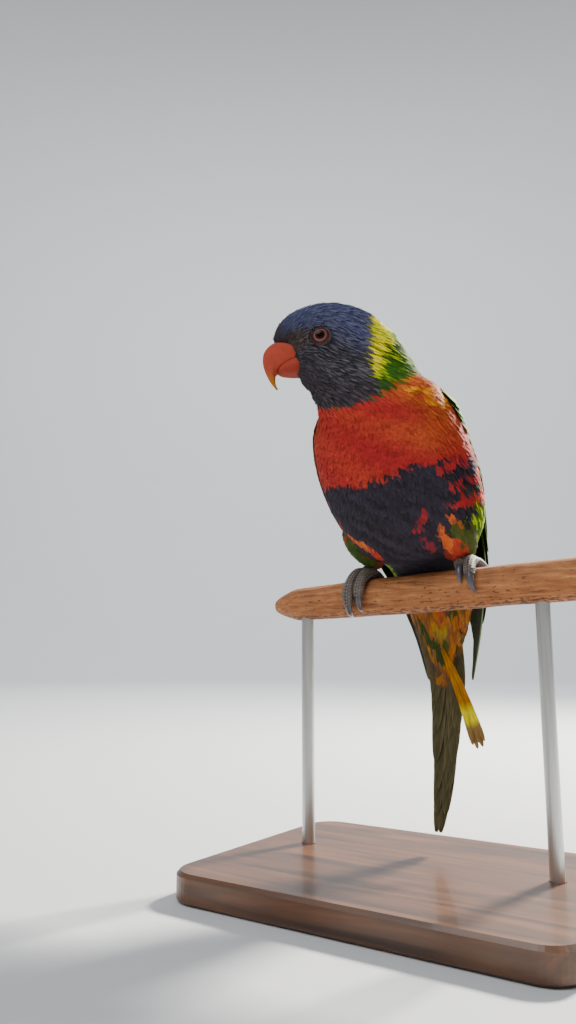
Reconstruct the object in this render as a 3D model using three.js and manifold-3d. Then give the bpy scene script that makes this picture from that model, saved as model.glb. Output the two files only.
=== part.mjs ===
// A life-size rainbow lorikeet gripping a short cut branch, on a plain display stand.
// Millimetres, +Z up. The origin is the centre of the stand's underside. The bird's body faces -Y,
// its own left is +X, and its head is turned to its right.
import * as THREE from "three";
import { mergeVertices } from "three/addons/utils/BufferGeometryUtils.js";
import Module from "manifold-3d";

const wasm = await Module();
wasm.setup();

const TAU = 2 * Math.PI;
const degrees = THREE.MathUtils.degToRad;
const mix = THREE.MathUtils.lerp;
const smooth = THREE.MathUtils.smoothstep;
const vector = (x, y, z) => new THREE.Vector3(x, y, z);

// Clearance kept between neighbouring pieces.
const GAP = 0.35;

// Stand: a flat plate, two rods and the cut branch that they carry.
const BASE = { width: 164, depth: 124, thickness: 12, corner: 14, bevel: 1.5 };
const PERCH = {
  radius: 8.8,
  left: -76,
  right: 74,
  y: 11,
  topZ: 134,
  // Degrees that it rises towards the bird's left.
  rise: 2.6,
  sides: 16,
  rings: 14,
  // Its left end is worn round over this length, and it is thinner towards it than at the middle.
  wornLength: 14,
  wornTip: 2.5,
  thinEnd: 0.88,
  thinTo: -5,
  sawnEdge: 0.93,
};
const ROD = { radius: 3, left: -58, right: 56, sink: 5 };

// Where the bird stands: the top of the branch, midway between its feet. The bird is measured from it.
const STANCE = vector(0, PERCH.y, PERCH.topZ);

// The body from the tail's root to the bill, unturned. Each station is a section across the body:
// its back and belly points as [y, z], its half width, and how much fuller it is towards the belly.
const STATIONS = [
  { back: [27.5, -50], belly: [22.5, -50], half: 5, low: 0 },
  { back: [31, -30], belly: [17.5, -33], half: 9, low: 0 },
  { back: [32.5, -10], belly: [13, -17], half: 14, low: 0 },
  { back: [31.5, 9], belly: [7, 2.5], half: 21, low: 0 },
  { back: [26.5, 29], belly: [-13, 6], half: 28.5, low: 0.05 },
  { back: [19.5, 46], belly: [-26.5, 18.5], half: 33, low: 0.05 },
  { back: [10.5, 61], belly: [-36, 34], half: 34, low: 0 },
  { back: [0, 73], belly: [-42.5, 49], half: 31.5, low: 0 },
  { back: [-10.5, 82.5], belly: [-47.5, 61.2], half: 26, low: 0 },
  { back: [-19, 92], belly: [-52.5, 70], half: 20.5, low: 0 },
  { back: [-24, 102], belly: [-56.5, 75.5], half: 17.6, low: 0.05 },
  { back: [-30.5, 110], belly: [-59.6, 79.2], half: 16.4, low: 0.1 },
  { back: [-40, 115.3], belly: [-61.6, 81], half: 15.8, low: 0.1 },
  { back: [-52, 117.3], belly: [-63, 82.2], half: 14.6, low: 0.08 },
  { back: [-64.2, 115], belly: [-63.9, 83.2], half: 11.4, low: 0.06 },
  { back: [-72.2, 109.3], belly: [-64.5, 84], half: 7, low: 0.05 },
  { back: [-75.6, 101.4], belly: [-64.9, 84.7], half: 3.8, low: 0 },
];
const RUMP_CUT = 2.3;
const NECK_CUT = 8.35;
const HEAD_CUT = 10.4;

// The head's turn about an upright axis through the neck, growing from one station to the other,
// and the body's lean to its right, growing with height.
const TURN = { degrees: 62, from: 7.3, to: 11, pivotY: -36 };
const LEAN = { most: 6, fromZ: -12, toZ: 60 };

// Eyes: where they sit on the head, as station and angle, and their sizes.
const EYE = { station: 12.27, angle: 84.6, radius: 4.3, proud: 1.1, lidRing: 3.5, lidRoll: 0.8 };

// Bill, in the head's own upright plane: distance ahead of the neck axis and height.
const BILL = {
  upper: [
    { top: [36.4, 100.6], foot: [26.5, 92.4], half: 6.3 },
    { top: [39.7, 100.8], foot: [29.5, 91], half: 6.6 },
    { top: [42.3, 98.2], foot: [33, 89.7], half: 6.1 },
    { top: [43.8, 94.6], foot: [36.2, 88.2], half: 5.3 },
    { top: [43.8, 90.3], foot: [38.2, 86.4], half: 4.3 },
    { top: [42.5, 86.2], foot: [38.5, 84.2], half: 3.1 },
    { top: [40.6, 82.4], foot: [38.2, 81.6], half: 1.9 },
    { top: [37.9, 78.9], foot: [37.2, 79.2], half: 0.6 },
  ],
  lower: [
    { top: [26.5, 93.5], foot: [26, 84.4], half: 5.4 },
    { top: [30, 92.3], foot: [29.7, 84.3], half: 5.5 },
    { top: [33.6, 90.3], foot: [33.2, 84.4], half: 4.9 },
    { top: [36.2, 88.3], foot: [35.9, 84.8], half: 3.6 },
    { top: [37.8, 86.6], foot: [37.6, 85.4], half: 1.4 },
  ],
  // A section is narrower than its half width at the middle, swells below it and has a flatter foot.
  narrow: 0.92,
  swell: { foot: 0.16, ridge: 0.064 },
  flatFoot: 0.94,
  nostril: { ahead: 38.2, side: 2.6, z: 102, radius: 0.85 },
};

// The folded wings lie on this envelope of the back and sides, from the shoulders to the wing tips.
const WING_STATIONS = [
  { back: [-10, 83.6], belly: [-48.2, 60.4], half: 27.2, low: 0 },
  { back: [0.3, 73.5], belly: [-43.2, 48.6], half: 32.3, low: 0 },
  { back: [11, 61.5], belly: [-36.5, 33.5], half: 34.7, low: 0 },
  { back: [20, 46.4], belly: [-27, 18], half: 33.8, low: 0 },
  { back: [26.8, 29], belly: [-13, 6], half: 29.5, low: 0 },
  { back: [32.5, 10], belly: [1, -4], half: 25.5, low: 0 },
  { back: [36, -9], belly: [10, -17], half: 20.5, low: 0 },
  { back: [37, -27], belly: [17, -31], half: 16.5, low: 0 },
  { back: [34.5, -47], belly: [20, -48], half: 12.5, low: 0 },
];
const WING = {
  lower: [103, 104, 105, 104, 102, 101, 100, 99, 100],
  upper: [132, 150, 159, 164, 166, 167, 165, 158, 150],
  thick: [1.6, 2.6, 2.4, 1.9, 1.4, 1, 0.8, 0.8, 0.8],
  // The arm's pad: where it ends, and how thick its edges are.
  coreEnd: 5.2,
  coreEdge: 0.7,
  // How far each wing's end is carried towards the bird's left, and over which stations.
  carried: { left: 0.5, right: 4.6, from: 4, to: 8 },
};
// Tiers of wing feathers. The first vane is the lowest and the last the highest: where each starts and
// where its tip lies, as station and share of the wing's width. rise is how far off the body a vane's
// root, sunk in the arm, and its free tip lie; layer is how much higher each next vane lies, and tilt
// how far a vane's lower edge is raised over the one before.
const WING_TIERS = [
  // Primaries.
  { count: 6, half: 4, steps: 4, rise: [0.5, 0.6], layer: 0.4, tilt: 0,
    roots: [[3.2, 0.12], [3.4, 0.46]], tips: [[8, 0.2], [6.6, 0.8]] },
  // Secondaries.
  { count: 5, half: 5.8, steps: 4, rise: [1, 2.2], layer: 0.1, tilt: 0.14,
    roots: [[2.6, 0.34], [2.4, 0.8]], tips: [[6.3, 0.52], [5.7, 0.92]] },
  // Primary coverts.
  { count: 3, half: 3.6, steps: 3, rise: [1.2, 2.1], layer: 0.1, tilt: 0.14,
    roots: [[1.9, 0.1], [1.9, 0.26]], tips: [[4.5, 0.08], [4.3, 0.34]] },
  // Greater coverts.
  { count: 5, half: 6, steps: 3, rise: [1.3, 3.2], layer: 0, tilt: 0.14,
    roots: [[1.7, 0.3], [1.7, 0.82]], tips: [[3.9, 0.34], [3.6, 0.9]] },
  // Median coverts.
  { count: 4, half: 6.4, steps: 3, rise: [1.2, 3.9], layer: 0, tilt: 0.14,
    roots: [[0.8, 0.2], [0.8, 0.8]], tips: [[2.5, 0.13], [2.3, 0.88]] },
];
// A vane's default steps and thickness. Its width is this share at the root, full from fullFrom, and
// rounds off to the tip from tipFrom.
const VANE = { steps: 4, thick: 0.85, root: 0.55, fullFrom: 0.25, tipFrom: 0.62, tipLength: 0.4, thinTip: 0.65 };

// Tail: pairs of feathers, longest in the middle and each pair beneath the last, then the coverts.
const TAIL = {
  pairs: 6,
  root: vector(1.5, 27, -14),
  bend: vector(4.5, 26.5, -60),
  tip: vector(0.3, 15, -113),
  tipZ: [-113, -106, -96.5, -85, -72, -59],
  spread: [0.6, 0.75],
  halfWidth: 4.1,
  layer: 0.62,
};
// A few feathers of the tail's right side have slipped across to its left, beneath the others.
const SLIPPED = [
  { root: [-2, 19.5, -30], bend: [4, 17.5, -54], tip: [21.5, 14.5, -76], half: 2.8 },
  { root: [-1, 18.6, -32], bend: [3.5, 16.4, -51], tip: [17.5, 13.3, -71], half: 2.7 },
];

// Legs: the feathered thigh, the bare shank and the four toes of each foot.
const LEG = {
  side: { left: 24.5, right: 24.9 },
  thigh: [[18, -4, 27], [20.5, -2.5, 18], [21.5, 2.5, 10.5], [21.6, 5, 7.4]],
  thighRadii: [11, 11.5, 8, 4.4],
  shank: [[21.4, 4.6, 8.6], [22.8, 3, 5.6]],
  shankRadius: 2.9,
  pad: { radii: [5, 4.6, 2.8], z: 2.9 },
};
// Each toe: which way it wraps the branch (1 ahead, -1 behind), its root and tip offsets along the
// branch, outward on its own side, and how far round the branch each foot's toe reaches.
const TOES = [
  { name: "front_outer", way: 1, from: 2.3, to: 4.7, reach: { left: 66, right: 106 }, radius: 2.5 },
  { name: "front_inner", way: 1, from: -2, to: -0.9, reach: { left: 38, right: 90 }, radius: 2.3 },
  { name: "back_outer", way: -1, from: 2, to: 7, reach: { left: 90, right: 92 }, radius: 2.4 },
  { name: "back_inner", way: -1, from: -2, to: -4.2, reach: { left: 74, right: 76 }, radius: 2.2 },
];
const CLAW = { reach: 44, radius: 1.55, tip: 0.35 };

const COLOURS = {
  head: 0x2b3170, neck: 0x6f8c1e, torso: 0xc8391a, wing: 0x2c6b1f, tail: 0x6f7424, thigh: 0xb0561f,
  foot: 0x6f6a68, claw: 0x45464c, bill: 0xe2481c, eye: 0x8f2f1f,
  perch: 0xa87850, plate: 0x6d4a2f, rod: 0xb9b6ad,
};

// The bird's own sides: its left is +X.
const SIDES = { left: 1, right: -1 };

// A uniform Catmull-Rom value through equally spaced numbers.
function along(values, t) {
  const last = values.length - 1;
  const i = Math.min(Math.max(Math.floor(t), 0), last - 1);
  const f = t - i;
  const [p0, p1, p2, p3] = [i - 1, i, i + 1, i + 2].map((k) => values[Math.min(Math.max(k, 0), last)]);
  const m1 = (p2 - p0) / 2;
  const m2 = (p3 - p1) / 2;
  return (
    (2 * f ** 3 - 3 * f ** 2 + 1) * p1 +
    (f ** 3 - 2 * f ** 2 + f) * m1 +
    (3 * f ** 2 - 2 * f ** 3) * p2 +
    (f ** 3 - f ** 2) * m2
  );
}

// The body's lean to its right: every point of the bird shifts by its height.
function leaned(point) {
  return point.setX(point.x - LEAN.most * smooth(point.z, LEAN.fromZ, LEAN.toZ));
}

// Turns a point of the head or neck about the upright neck axis.
function turned(point, t) {
  const angle = -degrees(TURN.degrees) * smooth(t, TURN.from, TURN.to);
  const y = point.y - TURN.pivotY;
  return vector(
    point.x * Math.cos(angle) - y * Math.sin(angle),
    point.x * Math.sin(angle) + y * Math.cos(angle) + TURN.pivotY,
    point.z,
  );
}

// A point on a lofted form: t counts stations, angle runs from the belly (0) up the bird's left side
// to the back (pi), and grow widens the section all round.
function loftPoint(stations, t, angle, grow = 0) {
  const at = (key, k) => along(stations.map((s) => s[key][k]), t);
  const back = vector(0, at("back", 0), at("back", 1));
  const belly = vector(0, at("belly", 0), at("belly", 1));
  const half = along(stations.map((s) => s.half), t);
  const low = along(stations.map((s) => s.low), t);
  const centre = back.clone().add(belly).multiplyScalar(0.5);
  const rise = back.clone().sub(belly).multiplyScalar(0.5);
  const reach = rise.length();
  const c = Math.cos(angle);
  return centre
    .addScaledVector(rise, (-c * (reach + grow)) / reach)
    .add(vector(Math.sin(angle) * (half * (1 + low * c) + grow), 0, 0));
}

const bodyPoint = (t, angle, grow = 0) => leaned(turned(loftPoint(STATIONS, t, angle, grow), t));

// A point of the head's own plane and side, carried by the head's turn and the body's lean.
const headPoint = (side, ahead, z) => leaned(turned(vector(side, TURN.pivotY - ahead, z), TURN.to));

// A closed indexed geometry through rings of points, each end closed on its middle.
function loft(rings) {
  const count = rings[0].length;
  const middle = (ring) => ring.reduce((sum, p) => sum.add(p), vector(0, 0, 0)).divideScalar(count);
  const points = [...rings.flat(), middle(rings[0]), middle(rings.at(-1))];
  const faces = [];
  for (let i = 0; i < rings.length - 1; i++)
    for (let j = 0; j < count; j++) {
      const a = i * count + j;
      const b = i * count + ((j + 1) % count);
      faces.push(a, b, b + count, a, b + count, a + count);
    }
  const end = (rings.length - 1) * count;
  for (let j = 0; j < count; j++) {
    const next = (j + 1) % count;
    faces.push(points.length - 2, next, j);
    faces.push(points.length - 1, end + j, end + next);
  }
  return new THREE.BufferGeometry().setFromPoints(points).setIndex(faces);
}

// A thin plate through cross lines [outerLeft, outerRight, innerRight, innerLeft], with both faces
// split along the same diagonals so that they can't cross.
function plate(lines) {
  const faces = [];
  for (let i = 0; i < lines.length - 1; i++) {
    const [a, b, c, d] = [0, 1, 2, 3].map((k) => i * 4 + k);
    faces.push(a, b, b + 4, a, b + 4, a + 4);
    faces.push(b, c, c + 4, b, c + 4, b + 4);
    faces.push(d, c + 4, c, d, d + 4, c + 4);
    faces.push(d, a, a + 4, d, a + 4, d + 4);
  }
  const end = (lines.length - 1) * 4;
  faces.push(0, 2, 1, 0, 3, 2, end, end + 1, end + 2, end, end + 2, end + 3);
  return new THREE.BufferGeometry().setFromPoints(lines.flat()).setIndex(faces);
}

// A solid that manifold-3d can join and cut. A geometry that comes out inside out is reversed.
function solid(geometry) {
  const bare = geometry.clone();
  for (const name of ["normal", "uv"]) bare.deleteAttribute(name);
  const merged = mergeVertices(bare, 1e-4);
  const vertProperties = new Float32Array(merged.attributes.position.array);
  const triVerts = new Uint32Array(merged.index.array);
  const made = new wasm.Manifold(new wasm.Mesh({ numProp: 3, vertProperties, triVerts }));
  if (made.volume() > 0) return made;
  for (let i = 0; i < triVerts.length; i += 3)
    [triVerts[i + 1], triVerts[i + 2]] = [triVerts[i + 2], triVerts[i + 1]];
  return new wasm.Manifold(new wasm.Mesh({ numProp: 3, vertProperties, triVerts }));
}

const fuse = (solids) => solids.reduce((whole, piece) => whole.add(piece));
const largest = (whole) => whole.decompose().reduce((a, b) => (b.volume() > a.volume() ? b : a));

// The half space on one side of a plane, as a big box whose face lies on the plane.
function halfSpace(point, normal) {
  const size = 400;
  const box = new THREE.BoxGeometry(size, size, size).translate(0, 0, size / 2);
  const turn = new THREE.Quaternion().setFromUnitVectors(vector(0, 0, 1), normal.clone().normalize());
  return solid(box.applyQuaternion(turn).translate(point.x, point.y, point.z));
}

function ellipsoid(centre, radii, detail = 10) {
  const ball = new THREE.SphereGeometry(1, detail * 2, detail);
  return ball.scale(radii[0], radii[1], radii[2]).translate(centre.x, centre.y, centre.z);
}

// A round tube through points, with a radius at each of its equal steps.
function taperedTube(points, radii, sides = 10) {
  const curve = new THREE.CatmullRomCurve3(points);
  const steps = radii.length - 1;
  const frames = curve.computeFrenetFrames(steps, false);
  const rings = radii.map((r, i) => {
    const centre = curve.getPointAt(i / steps);
    return Array.from({ length: sides }, (_, j) => {
      const angle = (TAU * j) / sides;
      return centre
        .clone()
        .addScaledVector(frames.normals[i], r * Math.cos(angle))
        .addScaledVector(frames.binormals[i], r * Math.sin(angle));
    });
  });
  return loft(rings);
}

// A feather's half width along its length, as a share: narrow at the root, full, then a rounded tip.
function vaneShape(s) {
  const root = mix(VANE.root, 1, smooth(s, 0, VANE.fullFrom));
  const tip = Math.sqrt(Math.max(1 - Math.max((s - VANE.tipFrom) / VANE.tipLength, 0) ** 2, 0.02));
  return root * tip;
}

// One feather vane. middle(s) is its middle line, outward(s) the way its outer face looks, and tilt
// raises its left edge and sinks its right one.
function vane(middle, outward, half, { thick = VANE.thick, tilt = 0, steps = VANE.steps } = {}) {
  const lines = [];
  for (let i = 0; i <= steps; i++) {
    const s = i / steps;
    const step = 0.02;
    const ahead = middle(Math.min(s + step, 1)).sub(middle(Math.max(s - step, 0))).normalize();
    const out = outward(s).normalize();
    const left = out.clone().cross(ahead).normalize();
    const w = half * vaneShape(s);
    const h = (thick * mix(1, VANE.thinTip, s)) / 2;
    const corner = (side, face) =>
      middle(s)
        .addScaledVector(left, side * w)
        .addScaledVector(out, face * h + side * w * tilt);
    lines.push([corner(1, 1), corner(-1, 1), corner(-1, -1), corner(1, -1)]);
  }
  return solid(plate(lines));
}

// Body pieces: one lofted form, cut across at the rump, the neck and the head.
function bodyLoft(from, to, step, sides, grow = 0) {
  const steps = Math.round((to - from) / step);
  const rings = [];
  for (let i = 0; i <= steps; i++) {
    const t = mix(from, to, i / steps);
    rings.push(Array.from({ length: sides }, (_, j) => bodyPoint(t, (TAU * j) / sides, grow)));
  }
  return solid(loft(rings));
}

// The plane of a body section, facing towards the head.
function sectionPlane(t) {
  const middleAt = (k) => bodyPoint(k, 0).add(bodyPoint(k, Math.PI)).multiplyScalar(0.5);
  const middle = middleAt(t);
  const side = bodyPoint(t, Math.PI / 2).sub(bodyPoint(t, -Math.PI / 2));
  const up = bodyPoint(t, Math.PI).sub(bodyPoint(t, 0));
  const normal = up.cross(side).normalize();
  return { middle, normal: normal.dot(middleAt(t + 0.1).sub(middle)) > 0 ? normal : normal.negate() };
}

// The part of the body between two sections, less half a gap at each cut.
function slice(whole, from, to) {
  let piece = whole;
  if (from !== null) {
    const { middle, normal } = sectionPlane(from);
    piece = piece.intersect(halfSpace(middle.addScaledVector(normal, GAP / 2), normal));
  }
  if (to !== null) {
    const { middle, normal } = sectionPlane(to);
    piece = piece.intersect(halfSpace(middle.addScaledVector(normal, -GAP / 2), normal.negate()));
  }
  return largest(piece);
}

// Bill: half of it is a loft of oval sections in the head's plane; grow makes the socket it sits in.
function billHalf(sections, grow = 0, fine = 2) {
  const sides = 12;
  const rings = [];
  for (let i = 0; i <= (sections.length - 1) * fine; i++) {
    const t = i / fine;
    const at = (key, k) => along(sections.map((s) => s[key][k]), t);
    const half = along(sections.map((s) => s.half), t) + grow;
    const top = new THREE.Vector2(at("top", 0), at("top", 1));
    const foot = new THREE.Vector2(at("foot", 0), at("foot", 1));
    const centre = top.clone().add(foot).multiplyScalar(0.5);
    const rise = top.clone().sub(foot).multiplyScalar(0.5);
    rise.setLength(rise.length() + grow);
    rings.push(
      Array.from({ length: sides }, (_, j) => {
        const angle = (TAU * j) / sides;
        const c = Math.cos(angle);
        const swell = c < 0 ? BILL.swell.foot : BILL.swell.ridge;
        const lift = c * (c < 0 ? BILL.flatFoot : 1);
        return headPoint(
          Math.sin(angle) * half * BILL.narrow * (1 + swell * Math.sin(angle) ** 2),
          centre.x + rise.x * lift,
          centre.y + rise.y * lift,
        );
      }),
    );
  }
  return solid(loft(rings));
}

// Where an eye sits: a point on the head and the way it looks.
function eyeSeat(side) {
  const angle = side * degrees(EYE.angle);
  const here = bodyPoint(EYE.station, angle);
  const on = bodyPoint(EYE.station + 0.2, angle).sub(bodyPoint(EYE.station - 0.2, angle));
  const round = bodyPoint(EYE.station, angle + 0.05).sub(bodyPoint(EYE.station, angle - 0.05));
  const out = round.cross(on).normalize();
  const middle = bodyPoint(EYE.station, 0).add(bodyPoint(EYE.station, Math.PI)).multiplyScalar(0.5);
  return { here, out: out.dot(here.clone().sub(middle)) > 0 ? out : out.negate() };
}

function eyeball(side, grow = 0, detail = 7) {
  const { here, out } = eyeSeat(side);
  const r = EYE.radius + grow;
  return solid(ellipsoid(here.addScaledVector(out, EYE.proud - EYE.radius), [r, r, r], detail));
}

// The rolled rim of the lids, lying on the head round an eye.
function lid(side) {
  const { here, out } = eyeSeat(side);
  const ring = new THREE.TorusGeometry(EYE.lidRing, EYE.lidRoll, 4, 14);
  ring.applyQuaternion(new THREE.Quaternion().setFromUnitVectors(vector(0, 0, 1), out));
  return solid(ring.translate(here.x, here.y, here.z));
}

// A point on a folded wing: side is 1 for the bird's left wing and -1 for its right, share runs
// over the wing's width from its lower edge to its upper one, and out is how far off the body.
function wingPoint(side, t, share, out) {
  const k = Math.min(t, WING_STATIONS.length - 1);
  const angle = degrees(mix(along(WING.lower, k), along(WING.upper, k), share));
  const point = loftPoint(WING_STATIONS, k, angle, out + GAP);
  const { left, right, from, to } = WING.carried;
  return leaned(point.setX(point.x * side + (side > 0 ? left : right) * smooth(t, from, to)));
}

// The wing's arm and muscle under its feathers: a curved pad, thin at its edges.
function wingCore(side) {
  const across = 6;
  const steps = 9;
  const rings = [];
  for (let i = 0; i <= steps; i++) {
    const t = mix(0, WING.coreEnd, i / steps);
    const end = Math.min(1, Math.sqrt((i + 0.6) / 2.5));
    const thick = along(WING.thick, t) * end;
    const squeeze = mix(0.5, 1, end);
    const at = (share, out) => wingPoint(side, t, 0.5 + (share - 0.5) * squeeze, out);
    const outer = [];
    const inner = [];
    for (let j = 0; j <= across; j++) {
      const share = j / across;
      const bulge = (thick - WING.coreEdge) * Math.sqrt(Math.sin(Math.PI * share));
      outer.push(at(share, WING.coreEdge + bulge));
      inner.push(at(share, 0));
    }
    rings.push([...outer, ...inner.reverse()]);
  }
  return solid(loft(rings));
}

// One tier of wing feathers, laid like shingles from the lower edge up.
function wingTier(side, tier) {
  return Array.from({ length: tier.count }, (_, i) => {
    const f = i / (tier.count - 1);
    const between = ([a, b], k) => mix(a[k], b[k], f);
    const at = (s, out) =>
      wingPoint(
        side,
        mix(between(tier.roots, 0), between(tier.tips, 0), s),
        mix(between(tier.roots, 1), between(tier.tips, 1), s),
        mix(tier.rise[0], tier.rise[1] + tier.layer * i, smooth(s, 0, 0.5)) + out,
      );
    const outward = (s) => at(s, 10).sub(at(s, 0));
    return vane((s) => at(s, 0), outward, tier.half, { tilt: -side * tier.tilt, steps: tier.steps });
  });
}

function wing(side) {
  return largest(fuse([wingCore(side), ...WING_TIERS.flatMap((tier) => wingTier(side, tier))]));
}

// A point of the tail: s runs from its root to its tip, side is across it and deep is towards its
// under face.
function tailPoint(s, side, deep) {
  const { root, bend, tip } = TAIL;
  const point = new THREE.QuadraticBezierCurve3(root, bend, tip).getPoint(s);
  return point.add(vector(side, -deep, 0));
}

function tailFeathers() {
  const total = TAIL.root.z - TAIL.tip.z;
  const made = [];
  for (let k = 0; k < TAIL.pairs; k++)
    for (const side of [-1, 1]) {
      const end = (TAIL.root.z - TAIL.tipZ[k]) / total;
      const place = TAIL.spread[0] + TAIL.spread[1] * k;
      const deep = (k + (side > 0 ? 0.5 : 0)) * TAIL.layer;
      const middle = (s) => tailPoint(mix(0.05, end, s), side * place * mix(0.7, 1.1, s), deep);
      made.push(vane(middle, () => vector(0, 1, 0), TAIL.halfWidth - 0.12 * k, { steps: 4 }));
    }
  return made;
}

// Feathers that have slipped across beneath the tail.
function slippedFeathers() {
  return SLIPPED.map(({ root, bend, tip, half }) => {
    const path = new THREE.QuadraticBezierCurve3(vector(...root), vector(...bend), vector(...tip));
    return vane((s) => path.getPoint(s), () => vector(0.1, 1, 0), half);
  });
}

// Coverts in rows over the tail's root: under is true for those of its under face. Each row's free
// tips lie higher than those of the row after it.
const TAIL_COVERTS = [
  { under: true, count: 3, from: 2.2, till: 1.15, spread: 46, half: 5.2, rise: 1.5 },
  { under: true, count: 3, from: 1.6, till: 0.5, spread: 34, half: 4.4, rise: 1 },
  { under: true, count: 2, from: 1, till: 0, spread: 16, half: 4, rise: 0.5 },
  { under: false, count: 3, from: 2.1, till: 1, spread: 46, half: 5.2, rise: 1.1 },
  { under: false, count: 2, from: 1.5, till: 0.4, spread: 22, half: 4.6, rise: 0.6 },
];

function tailCoverts() {
  return TAIL_COVERTS.flatMap(({ under, count, from, till, spread, half, rise }) =>
    Array.from({ length: count }, (_, i) => {
      const lean = mix(-spread, spread, i / (count - 1));
      const angle = degrees(under ? lean : 180 + lean);
      const off = (s) => mix(-0.6, rise, smooth(s, 0.1, 0.7));
      const at = (s, out) => bodyPoint(mix(from, till, s), angle, off(s) + out);
      return vane((s) => at(s, 0), (s) => at(s, 10).sub(at(s, 0)), half, { tilt: 0.08, steps: 3 });
    }),
  );
}

// Legs.
const mirrored = (points, side) => points.map(([x, y, z]) => vector(x * side, y, z));

function thigh(side, grow = 0) {
  const path = mirrored(LEG.thigh, side).map(leaned);
  const end = path.at(-1).clone().sub(path.at(-2)).setLength(grow);
  path.at(-1).add(end);
  return solid(taperedTube(path, LEG.thighRadii.map((r) => r + grow), 16));
}

// The branch rises towards the bird's left; whatever lies on it is turned with it about the stance.
const risen = (point) => point.applyAxisAngle(vector(0, -1, 0), degrees(PERCH.rise));

// A point beside the branch: x along it, angle round it from its top (positive ahead) and how far
// from its axis.
function roundPerch(x, angle, radius) {
  return risen(vector(x, -radius * Math.sin(angle), -PERCH.radius + radius * Math.cos(angle)));
}

function toePath(word, toe, from, to, outward) {
  const side = SIDES[word];
  const middle = PERCH.radius + GAP + toe.radius;
  return Array.from({ length: 7 }, (_, i) => {
    const f = i / 6;
    const share = mix(from, to, f);
    const x = side * (LEG.side[word] + mix(toe.from, toe.to, share));
    return roundPerch(x, toe.way * degrees(toe.reach[word]) * share, middle + outward(f));
  });
}

function toeTube(word, toe) {
  const r = toe.radius;
  const radii = [r * 0.9, r * 1.04, r * 0.93, r * 1.04, r * 0.92, r * 1, r * 0.72];
  return solid(taperedTube(toePath(word, toe, 0.04, 1, () => 0), radii, 7));
}

function foot(word) {
  const side = SIDES[word];
  const ankle = risen(vector(side * LEG.side[word], 0, LEG.pad.z));
  const pieces = TOES.map((toe) => toeTube(word, toe));
  pieces.push(solid(ellipsoid(ankle, LEG.pad.radii, 5)));
  const shank = [...mirrored(LEG.shank, side).map(leaned), ankle];
  pieces.push(solid(taperedTube(shank, [LEG.shankRadius, LEG.shankRadius * 0.95, LEG.shankRadius], 9)));
  return fuse(pieces);
}

// A claw carries on round the branch from its toe's end, thinning and closing in on the wood.
function claw(word, toe) {
  const far = 1 + CLAW.reach / toe.reach[word];
  const gap = (1.5 * GAP) / ((PERCH.radius + toe.radius) * degrees(toe.reach[word]));
  const bow = (f) => 0.5 * Math.sin(Math.PI * f) - f * (toe.radius - CLAW.tip - 0.25);
  const path = toePath(word, toe, 1 + gap, far, bow);
  const radii = [1, 0.94, 0.8, 0.62, 0.42, 0.2].map((k) => Math.max(k * CLAW.radius, CLAW.tip));
  return solid(taperedTube(path, radii, 8));
}

// Branch: a slightly uneven rod, its left end worn round and its right end sawn. grow clears room.
function perch(grow = 0) {
  const rings = [];
  for (let i = 0; i <= PERCH.rings; i++) {
    const x = mix(PERCH.left, PERCH.right, i / PERCH.rings);
    const worn = Math.sqrt(Math.min((x - PERCH.left + PERCH.wornTip) / PERCH.wornLength, 1));
    const edge = i === PERCH.rings ? PERCH.sawnEdge : 1;
    const thinner = mix(PERCH.thinEnd, 1, smooth(x, PERCH.left, PERCH.thinTo));
    rings.push(
      Array.from({ length: PERCH.sides }, (_, j) => {
        const angle = (TAU * j) / PERCH.sides;
        const uneven = 1 + 0.018 * Math.sin(x / 9 + 2 * angle) + 0.012 * Math.sin(x / 5 - 3 * angle);
        const radius = PERCH.radius * worn * edge * thinner * Math.min(uneven, 1);
        return roundPerch(x, angle, radius + grow);
      }),
    );
  }
  return solid(loft(rings));
}

// Stand.
function rod(x, grow = 0) {
  const top = PERCH.topZ - 2 * PERCH.radius + ROD.sink + x * Math.tan(degrees(PERCH.rise));
  const foot = BASE.thickness - ROD.sink;
  const height = top - foot + 2 * grow;
  const radius = ROD.radius + grow;
  const bar = new THREE.CylinderGeometry(radius, radius, height, 20).rotateX(Math.PI / 2);
  return solid(bar.translate(x, PERCH.y, (top + foot) / 2));
}

function basePlate() {
  const w = BASE.width / 2 - BASE.bevel;
  const d = BASE.depth / 2 - BASE.bevel;
  const r = BASE.corner - BASE.bevel;
  const outline = new THREE.Shape();
  outline.moveTo(-w + r, -d).lineTo(w - r, -d).absarc(w - r, -d + r, r, -Math.PI / 2, 0, false);
  outline.lineTo(w, d - r).absarc(w - r, d - r, r, 0, Math.PI / 2, false);
  outline.lineTo(-w + r, d).absarc(-w + r, d - r, r, Math.PI / 2, Math.PI, false);
  outline.lineTo(-w, -d + r).absarc(-w + r, -d + r, r, Math.PI, 1.5 * Math.PI, false);
  const slab = new THREE.ExtrudeGeometry(outline, {
    depth: BASE.thickness - 2 * BASE.bevel,
    bevelThickness: BASE.bevel,
    bevelSize: BASE.bevel,
    bevelSegments: 1,
    curveSegments: 5,
  });
  return solid(slab.translate(0, 0, BASE.bevel));
}

const group = new THREE.Group();
const bird = new THREE.Group();
bird.position.copy(STANCE);
group.add(bird);

function add(parent, name, made, color, roughness = 0.8, metalness = 0) {
  const mesh = made.getMesh();
  const geometry = new THREE.BufferGeometry()
    .setAttribute("position", new THREE.BufferAttribute(mesh.vertProperties, 3))
    .setIndex(new THREE.BufferAttribute(mesh.triVerts, 1));
  const material = new THREE.MeshStandardMaterial({ color, roughness, metalness });
  const piece = new THREE.Mesh(geometry, material);
  piece.name = name;
  parent.add(piece);
}

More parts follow.
